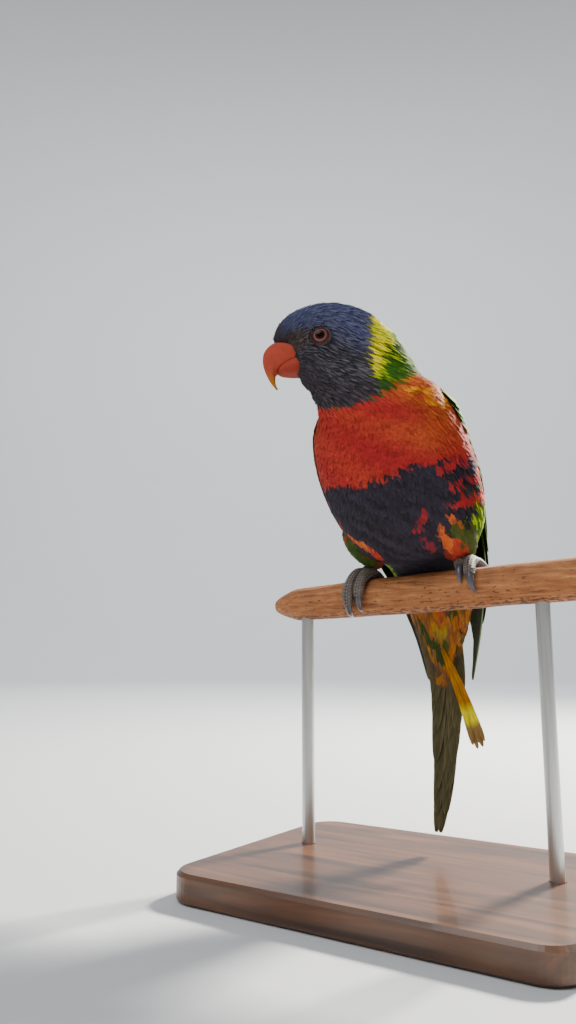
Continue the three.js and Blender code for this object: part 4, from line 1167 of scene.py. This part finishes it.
def tail_feather(k, side, rng):
    """One feather of pair k, which lies beneath the pair before it and a little further aside."""
    root_z, tip_z = TAIL[0][2], TAIL_ENDS[0]
    s = FLIGHT_S[None, :]
    t = mix(0.05, (root_z - TAIL_ENDS[k]) / (root_z - tip_z), s)
    place = (0.6 + 0.75 * k) * (1.6 if side > 0 else 1)
    a = side * place * mix(0.7, 1.1, s) + 0.35 * rng.normal() * s**2
    deep = (k + (0.5 if side > 0 else 0)) * 0.62

    def colour(s, across):
        tint = blend(COLOUR["green"] * np.exp(rng.normal(0, 0.08)), "olive", UNDER_SHEET)
        tint = blend(tint, "olive edge", 0.6 * smooth(np.abs(across), 0.5, 1.0))
        return blend(tint, "amber", 0.5 * smooth(0.5 - s, 0, 0.3) * (k > 1) * UNDER_SHEET)

    half = np.array([4.1 - 0.12 * k])
    return flight_vanes(
        tail_surface, t, a, half, np.full_like(t, -deep), 0.0, 0.3, colour, TAIL_SPAN, TAIL_OUT, 0.45
    )


def slipped_feather(start, bend, tip, half):
    """A loose feather on its own bent line: amber brown, then a clear yellow band and an olive brown
    end."""

    def colour(s, across):
        tint = blend(COLOUR["amber"] * 0.42, COLOUR["yellow"] * 0.7, smooth(s, 0.62, 0.65))
        return blend(tint, mix(COLOUR["olive edge"], COLOUR["amber"], 0.16), smooth(s, 0.8, 0.83))

    sheet = strip_surface((start, bend, tip))
    s = FLIGHT_S[None, :]
    out = outward_sign(sheet, 0.5, 0.0, (0, 1, 0))
    return flight_vanes(
        sheet, s, 0 * s, np.array([half]), 0 * s, 0.0, 0.2, colour, TAIL_SPAN, out, 0.86, root=0.18
    )


def tail():
    """Six pairs of long feathers in a graduated stack, the longest in the middle, and a few beneath
    them that have slipped aside."""
    rng = np.random.default_rng(SEED + 90)
    parts = [tail_feather(k, side, rng) for k in range(len(TAIL_ENDS)) for side in (-1, 1)]
    parts += [slipped_feather(*feather) for feather in SLIPPED]
    make_piece("feathers_tail", gathered(parts), TAIL_FEATHER, "tail_feathers", "tail")


tail()


# Legs.
def round_perch(x, angle, radius):
    """A point beside the branch: x along it, angle round it from its top and how far from its axis."""
    x, angle, radius = np.broadcast_arrays(np.asarray(x, float), angle, radius)
    return risen(np.stack([x, -radius * np.sin(angle), radius * np.cos(angle) - PERCH["radius"]], -1))


def risen(p):
    """The branch rises towards the bird's left, and what lies on it turns with it about the stance."""
    k = math.radians(PERCH["rise"])
    x, z = p[..., 0], p[..., 2]
    return np.stack([x * math.cos(k) - z * math.sin(k), p[..., 1], x * math.sin(k) + z * math.cos(k)], -1)


# Toes: ahead or behind, where they start and end outward of the leg, the radius, and how many degrees
# round the branch the left foot's and the right foot's reach. Then the claws: how many degrees they
# reach further, and their radius at the root and at the tip.
TOES = [
    {"name": "front_outer", "way": 1, "from": 2.3, "to": 4.7, "radius": 2.5, "left": 66, "right": 106},
    {"name": "front_inner", "way": 1, "from": -2, "to": -0.9, "radius": 2.3, "left": 38, "right": 90},
    {"name": "back_outer", "way": -1, "from": 2, "to": 7, "radius": 2.4, "left": 90, "right": 92},
    {"name": "back_inner", "way": -1, "from": -2, "to": -4.2, "radius": 2.2, "left": 74, "right": 76},
]
CLAW = {"reach": 44, "root": 1.6, "tip": 0.06, "rings": 48, "sides": 20}
# The shank from the thigh to the ankle, then the ball of the foot: its height above the branch's top
# and its radii. Last the scales: how far apart they are along a toe, and how high.
SHANK = np.array([[21.4, 4.6, 10.5], [21.6, 4.4, 8.6], [22.8, 3, 5.6]])
SHANK_RADIUS = 2.8
BALL = {"height": 2.9, "radii": (5, 4.6, 2.8)}
SCALE = {"pitch": 1.3, "height": 0.3}


def toe_line(word, toe, share, off):
    """The middle line of a toe or its claw: a share of the toe's reach round the branch."""
    x = SIDES[word] * (LEG_SIDE[word] + mix(toe["from"], toe["to"], share))
    angle = toe["way"] * math.radians(toe[word]) * share
    return round_perch(x, angle, PERCH["radius"] + GAP + toe["radius"] + off)


def tube_round(centre, radius, up, relief):
    """A tube whose rings stand square to its line, with up the way their angle starts from. relief
    (rings, sides) is how far each point is raised."""
    ahead = unit(np.gradient(centre, axis=0))
    side = unit(np.cross(ahead, up))
    angle = turns(relief.shape[1])[None, :, None]
    around = np.cos(angle) * np.cross(side, ahead)[:, None] + np.sin(angle) * side[:, None]
    return centre[:, None] + (radius[:, None] + relief)[..., None] * around


def scales(run, sides, rows):
    """How full the skin stands, from 0 in the creases to 1 on top of round beads: rows of them run
    round the toe, each set half a step on from the last, and the ones on top are the widest."""
    angle = turns(sides)
    place = angle / (2 * math.pi) * rows + 0.25 * np.sin(angle)
    step = (run / SCALE["pitch"])[:, None] + 0.5 * np.floor(place)
    return np.abs(np.sin(math.pi * step)) ** 0.6 * np.abs(np.sin(math.pi * place)) ** 0.6


def beaded(rings, full):
    """A closed part of the foot, with painted shade in its creases and painted light on top of its beads."""
    return tube_part(rings, COLOUR["foot"] * mix(0.16, 1.3, with_ends(full, 0, 0))[:, None])


def foot(word):
    """Four toes with their pads and scales, the ball of the foot and the shank."""
    side = SIDES[word]
    parts = []
    share = np.linspace(0.0, 1, 130)
    for toe in TOES:
        centre = toe_line(word, toe, share, 0)
        run = run_along(centre)
        pads = 1 + 0.055 * np.sin(run / 2.1) - 0.2 * smooth(share, 0.8, 1.0)
        radius = toe["radius"] * pads * np.sqrt(np.minimum(1, (share + 0.02) / 0.06))
        full = scales(run, 40, 11)
        up = toe_line(word, toe, share, 5) - centre
        parts.append(beaded(tube_round(centre, radius, up, SCALE["height"] * full), full))
    ankle = risen(np.array([side * LEG_SIDE[word], 0.0, BALL["height"]]))
    v, u = np.linspace(0.001, math.pi - 0.001, 60)[:, None], turns(80)
    full = np.sqrt(np.abs(np.sin(9 * u) * np.sin(9 * v)))
    wide, deep, high = BALL["radii"]
    ball = (wide * np.sin(v) * np.cos(u), deep * np.sin(v) * np.sin(u), high * np.cos(v) + 0 * u)
    parts.append(beaded(ankle + np.stack(ball, -1) * (1 + 0.06 * full)[..., None], full))
    shank = np.concatenate([leaned(SHANK * (side, 1, 1)), ankle[None]])
    centre = along(shank, np.linspace(0, 3, 80))
    full = scales(run_along(centre), 44, 12)
    radius, ahead = np.full(80, SHANK_RADIUS), np.array([0, -1.0, 0])
    parts.append(beaded(tube_round(centre, radius, ahead, SCALE["height"] * full), full))
    make_piece("scaled_foot_" + word, gathered(parts), FOOT_SKIN, "foot_skin", "foot_" + word)


def claw(word, toe):
    """A claw carries on round the branch from its toe's end, thinning to a point and closing in."""
    f = np.linspace(0, 1, CLAW["rings"])
    share = mix(0.97, 1 + CLAW["reach"] / toe[word], f)
    off = 0.5 * np.sin(math.pi * f) - f * (toe["radius"] - 0.6)
    centre = toe_line(word, toe, share, off)
    radius = CLAW["root"] * (1 - f**1.6) ** 0.8 + CLAW["tip"]
    up = toe_line(word, toe, share, off + 5) - centre
    rings = tube_round(centre, radius, up, np.zeros((1, CLAW["sides"])))
    tone = with_ends(np.repeat(mix(0.9, 1.5, f), CLAW["sides"]), 0.9, 1.5)[:, None]
    name = f"{word}_{toe['name']}"
    horn = tube_part(rings, COLOUR["claw"] * tone)
    make_piece("horn_" + name, horn, CLAW_HORN, "claw_horn", "claw_" + name)


def thigh_coat(word, side):
    """Short feathers down the thigh to the ankle."""
    surface = thigh_surface(side)
    outward = outward_sign(surface, 1.5, 0.0, (0, -1, 0))
    rng = np.random.default_rng(SEED + 70 + side)
    span = ((0, 3), (0, 2 * math.pi))
    setting = SETTING["thigh"]
    t, a = staggered_roots(surface, (0.05, 2.9), span[1], setting, rng)

    def colour(t, a, s, across, rng):
        """The markings over a ground that is dark inside the leg and green outside it."""
        scatter = rng.normal(0, 1, t.shape)
        p = surface(t, a)
        outer = smooth(side * p[..., 0] + scatter, 20, 25)
        ground = blend("belly", "thigh green", outer)
        ground = blend(ground, "red orange", 0.6 * (1 - outer) * smooth(9 - p[..., 2], -2, 4))
        base = marked(p, ground, 0.8 * scatter) * np.exp(rng.normal(0, 0.08, t.shape))[:, None]
        return each(base) * mix(0.55, 1.0, smooth(s, 0.1, 0.7))[..., None]

    lift = (np.full(len(t), -1.0), setting["tip"] + rng.normal(0, setting["uneven"], t.shape))
    length, half = (measure(setting, name, t) for name in ("length", "half"))
    part = contour_vanes(surface, t, a, length, half, setting, lift, colour, span, rng, outward)
    make_piece("coat_thigh_" + word, part, BODY_FEATHER, "thigh_feathers")


for word, side in SIDES.items():
    foot(word)
    thigh_coat(word, side)
    for toe in TOES:
        claw(word, toe)


# Bill.
def bill_half(sections, rings, sides, square):
    """A loft of sections in the head's plane. Each half of a section is a superellipse: square gives
    the power of the sine across and of the cosine upwards for the ridge's half and the foot's."""
    t = np.linspace(0, len(sections) - 1, rings)
    top_a, top_z, foot_a, foot_z, half = np.moveaxis(along(sections, t)[:, None], -1, 0)
    c, sn = np.cos(turns(sides)), np.sin(turns(sides))
    power = np.where(c < 0, square[1], square[0])
    lift = np.sign(c) * np.abs(c) ** power
    side = np.sign(sn) * np.abs(sn) ** power * half
    ahead = (top_a + foot_a) / 2 + (top_a - foot_a) / 2 * lift
    return head_point(side, ahead, (top_z + foot_z) / 2 + (top_z - foot_z) / 2 * lift)


def bill():
    """The two halves of the bill, their facing edges square so that they close on a thin line."""
    sides = 72
    halves = (("upper", BILL_UPPER, 110, (0.98, 0.42)), ("lower", BILL_LOWER, 70, (0.42, 0.8)))
    for name, sections, rings, square in halves:
        far = with_ends(np.repeat(np.linspace(0, 1, rings), sides), 0, 1)
        down = with_ends(np.tile(-np.cos(turns(sides)), rings), 0, 0)
        if name == "upper":
            tint = blend("bill", "bill root", 1 - smooth(far, 0.02, 0.1))
            tint = blend(tint, "bill tip", smooth(far + 0.06 * down, 0.62, 0.95))
            tint = blend(tint, "claw", 0.5 * smooth(far, 0.97, 1.0))
        else:
            # Painted shade: the lower half darkens towards its underside.
            tint = blend("bill", "bill painted shade", 0.45 * smooth(down, -0.6, 0.9))
        half = tube_part(bill_half(sections, rings, sides, square), tint)
        make_piece("horn_bill_" + name, half, BILL_HORN, "bill_horn", "bill_" + name)


bill()


# Eyes.
def round_axis(out, u):
    """Directions square to out at angles u round it, the first level."""
    level = unit(np.cross(np.array([0, 0, 1.0]), out))
    return np.cos(u)[:, None] * level + np.sin(u)[:, None] * np.cross(out, level)


# Colours round the pupil, each with the two radii between which it comes in.
EYE_RINGS = (("iris", 1.15, 1.4), ("iris rim", 1.95, 2.3), ("lid edge", 2.75, 3.0))


def eye(word):
    """The eyeball: a sphere with its colours as rings about the way it looks."""
    seat, out = EYE_SEATS[word]
    r = EYE["radius"]
    v = np.linspace(0.0, math.pi, 64)[1:-1]
    ring = r * np.sin(v)
    middles = seat + out * (EYE["proud"] - r) + each(r * np.cos(v)) * out
    rings = middles + each(ring) * round_axis(out, turns(64))
    away = with_ends(np.repeat(ring, 64), 0, 0)
    tint = "pupil"
    for name, start, full in EYE_RINGS:
        tint = blend(tint, name, smooth(away, start, full))
    make_piece("eyeball_" + word, tube_part(rings, tint), EYE_GLOSS, "eye", "eye_" + word)


LID = {
    "inner": 2.95, "outer": 6.4, "rim": 3.35, "fold": 4.3, "squash": 0.08, "depth": 0.5,
    "head_radius": 15.0,
}


def lids(word):
    """The bare ring round an eye: from under the lid's edge it rolls over the rim, dips, and runs out
    under the feathers with fine wrinkles round it. It drops with the head's own curve."""
    seat, out = EYE_SEATS[word]
    cols, u = 160, turns(160)
    radius = np.linspace(LID["inner"], LID["outer"], 44)[:, None]
    ring = between(radius, 2.9, 3.4, 4.8, 5.6)
    height = 0.75 * bulge(radius, LID["rim"], 0.4) + 0.18 * bulge(radius, LID["fold"], 0.5) - 0.35
    height = height - 1.2 * smooth(radius, 4.7, LID["outer"]) - radius**2 / (2 * LID["head_radius"])
    wrinkle = 0.07 * np.sin(23 * u + 1.5 * np.sin(3 * u))
    lumps = 0.1 * np.sin(7.5 * radius + 0.9 * np.sin(5 * u + 1))
    height = height + (wrinkle + lumps) * ring
    flat = (radius * (1 - LID["squash"] * np.sin(u) ** 2))[..., None] * round_axis(out, u)
    front = seat + flat + height[..., None] * out
    rings = np.concatenate([front, (front - out * LID["depth"])[::-1]])
    away = np.concatenate([radius, radius[::-1]])
    part = {
        "points": rings.reshape(-1, 3),
        "faces": grid_triangles(len(rings) + 1, cols, True) % (len(rings) * cols),
        "tint": blend("lid edge", "lid", smooth(np.repeat(away, cols), 3.5, 4.0)),
        "uv": {},
    }
    make_piece("eyelid_" + word, part, BARE_SKIN, "head_feathers")


for word in SIDES:
    eye(word)
    lids(word)


# Branch and stand.
def drawn_noise(tree, scale, detail, **values):
    """Noise of the object's own place, drawn out along the axes that have the smaller scale."""
    place = node(tree, "TexCoord").outputs["Object"]
    drawn = node(tree, "Mapping", {"Scale": scale}, {"Vector": place}).outputs[0]
    settings = {"Scale": 1.0, "Detail": detail, **values}
    return node(tree, "TexNoise", settings, {"Vector": drawn}).outputs["Fac"]


def ramped(tree, factor, stops):
    """The colour at a factor, between places and their colours."""
    ramp = node(tree, "ValToRGB", links={0: factor})
    elements = ramp.color_ramp.elements
    while len(elements) < len(stops):
        elements.new(0.5)
    for element, (at, colour) in zip(elements, stops):
        element.position = at
        element.color = (*colour, 1)
    return ramp.outputs[0]


def wood_material():
    """Weathered stripped wood: pale fibres drawn out along the branch over tan, with dark flecks."""
    material, tree, shader = new_material("branch wood", Roughness=0.75)
    grain = drawn_noise(tree, (90, 700, 700), 6.0, Roughness=0.6)
    stops = [(0.3, "6e4020"), (0.44, "945a30"), (0.58, "a96c3c"), (0.74, "c08a58")]
    wood = ramped(tree, grain, [(at, linear(code)) for at, code in stops])
    flecks = drawn_noise(tree, (420, 900, 900), 3.0)
    dense = node(tree, "Attribute", attribute_name="tint").outputs["Fac"]
    count = maths(tree, "ADD", flecks, maths(tree, "MULTIPLY", dense, 0.16))
    mask = node(tree, "MapRange", {"From Min": 0.62, "From Max": 0.7, "To Max": 0.75}, {"Value": count})
    blended = node(tree, "Mix", data_type="RGBA")
    tree.links.new(mask.outputs[0], blended.inputs["Factor"])
    tree.links.new(wood, blended.inputs["A"])
    blended.inputs["B"].default_value = (*linear("2c1c12"), 1)
    surfaced(tree, shader, blended.outputs["Result"], grain, 0.6, 0.0006)
    return material


def perch():
    """The branch: a slightly uneven rod, its left end worn round and its right end sawn, with dark
    flecks of old bark left along the top and the underside."""
    x = np.linspace(PERCH["left"], PERCH["right"], 240)[:, None]
    angle = turns(72)
    worn = np.sqrt(np.clip((x - PERCH["left"] + 2.2) / 14, 0, 1))
    thinner = mix(0.88, 1, smooth(x, PERCH["left"], -5))
    uneven = 1 + 0.018 * np.sin(x / 9 + 2 * angle) + 0.012 * np.sin(x / 5 - 3 * angle)
    uneven = np.minimum(uneven, 1) - 0.012 * np.abs(np.sin(11 * angle + x / 40)) ** 3
    saw = 1 - 0.07 * smooth(x, PERCH["right"] - 1.5, PERCH["right"])
    rings = round_perch(x, angle, PERCH["radius"] * worn * thinner * uneven * saw)
    bark = smooth(np.abs(np.cos(angle + 0.3)), 0.82, 1.0) + 0 * x
    branch = tube_part(rings, with_ends(bark, 0.5, 0.0)[:, None])
    make_piece("branch", branch, wood_material(), "branch_wood", "perch")


def stand():
    """Dark oiled wood for the base and brushed steel for the rods."""
    oiled, tree, shader = new_material("base wood", Roughness=0.38, Coat_Weight=0.15)
    grain = drawn_noise(tree, (14, 160, 160), 5.0, Distortion=0.6)
    wood = ramped(tree, grain, [(0.3, linear("2e1b10")), (0.7, linear("6b4326"))])
    surfaced(tree, shader, wood, grain, 0.2, 0.0002)
    steel, tree, shader = new_material("rod steel", Metallic=1.0, Roughness=0.3)
    brushed = drawn_noise(tree, (900, 900, 30), 3.0)
    grey = np.array([1, 1, 0.97])
    shine = ramped(tree, brushed, [(0.2, 0.47 * grey), (0.8, 0.6 * grey)])
    tree.links.new(shine, shader.inputs["Base Color"])
    rough = node(tree, "MapRange", {"To Min": 0.22, "To Max": 0.42}, {"Value": brushed})
    tree.links.new(rough.outputs[0], shader.inputs["Roughness"])
    for name, material in (("stand_base", oiled), ("stand_rod_left", steel), ("stand_rod_right", steel)):
        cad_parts[name].data.materials.clear()
        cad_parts[name].data.materials.append(material)


perch()
stand()

# Studio: a pale bowl, soft lights and the camera. The floor is flat out to one radius and then bends
# up into a wall. The pictures are 1024 high, and the lens is set for a frame of 36 mm. The lamps are
# placed and aimed by offsets from a point at the lit height.
CAMERA = {"place": (0.15348, -0.31971, 0.09937), "azimuth": 34.0, "horizon_drop": 140.0, "focal_px": 800.0}
PICTURE, FILM = 1024, 36
BOWL = {"flat": 2.6, "bend": 1.2, "wall": 1.4, "top": 4.6, "sides": 96}
LIT_HEIGHT = 0.17


def placed(x, y, z, place):
    """The matrix of something with these axes at a place."""
    return Matrix(np.vstack([np.column_stack([x, y, z, place]), [0, 0, 0, 1]]).tolist())


def bowl():
    """A surface of revolution: flat, then a quarter circle, then upright, closed in the middle."""
    flat, bend = BOWL["flat"], BOWL["bend"]
    angle = np.linspace(0, math.pi / 2, 14)[1:]
    r = np.concatenate([np.linspace(0.05, flat, 14), flat + bend * np.sin(angle), np.full(8, flat + bend)])
    wall = np.linspace(BOWL["wall"], BOWL["top"], 8)
    z = np.concatenate([np.zeros(14), bend - bend * np.cos(angle), wall])
    r, z, u, sides = r[:, None], z[:, None], turns(BOWL["sides"]), BOWL["sides"]
    p = np.stack(np.broadcast_arrays(r * np.cos(u), r * np.sin(u), z), -1)
    p = np.concatenate([p.reshape(-1, 3), np.zeros((1, 3))])
    k = np.arange(sides)
    middle = np.stack([np.full(sides, len(p) - 1), k, (k + 1) % sides], -1)
    faces = np.concatenate([grid_triangles(len(r), sides, True)[:, ::-1], middle])
    mesh = bpy.data.meshes.new("floor")
    mesh.from_pydata(p.tolist(), [], faces.tolist())
    mesh.polygons.foreach_set("use_smooth", np.ones(len(faces), bool))
    material, _, shader = new_material("studio paper", Roughness=0.9)
    shader.inputs["Base Color"].default_value = (0.56, 0.57, 0.58, 1)
    mesh.materials.append(material)
    shown("floor", mesh)


def studio():
    """The bowl, three lamps, even sky light and the camera where the photographer stood."""
    bowl()
    azimuth = math.radians(CAMERA["azimuth"])
    right = np.array([math.cos(azimuth), math.sin(azimuth), 0])
    far = np.array([-math.sin(azimuth), math.cos(azimuth), 0])
    up = np.array([0, 0, 1.0])

    def area(name, offset, size, power, colour, target=(0, 0, 0)):
        """A square lamp at an offset right, ahead and up of the bird, aimed at a target given alike."""
        data = bpy.data.lights.new(name, "AREA")
        data.energy, data.size, data.color = power, size, colour
        place, aim = (o[0] * right + o[1] * far + (o[2] + LIT_HEIGHT) * up for o in (offset, target))
        z = -unit(aim - place)
        x = unit(np.cross(up, z))
        shown(name, data).matrix_world = placed(x, np.cross(z, x), z, place)

    area("sun side", (0.68, 0.58, 0.66), 0.16, 62, (1, 0.96, 0.88))
    area("front", (-0.6, -0.55, 1.1), 0.9, 13, (1, 1, 1))
    area("backdrop", (0, 1.0, 1.9), 1.2, 110, (1, 1, 1), (0, 3.6, 0.7))
    world = bpy.data.worlds.new("studio")
    world.use_nodes = True
    sky = world.node_tree.nodes["Background"]
    sky.inputs[0].default_value = (0.85, 0.9, 1.0, 1)
    sky.inputs[1].default_value = 0.48
    bpy.context.scene.world = world

    camera = shown("camera", bpy.data.cameras.new("camera"))
    camera.data.lens = CAMERA["focal_px"] * FILM / PICTURE
    camera.data.sensor_width = FILM
    camera.data.sensor_fit = "AUTO"
    camera.data.clip_start = 0.01
    tilt = math.atan2(CAMERA["horizon_drop"], CAMERA["focal_px"])
    ahead = far * math.cos(tilt) + up * math.sin(tilt)
    top = up * math.cos(tilt) - far * math.sin(tilt)
    camera.matrix_world = placed(right, top, -ahead, CAMERA["place"])
    bpy.context.scene.camera = camera


studio()
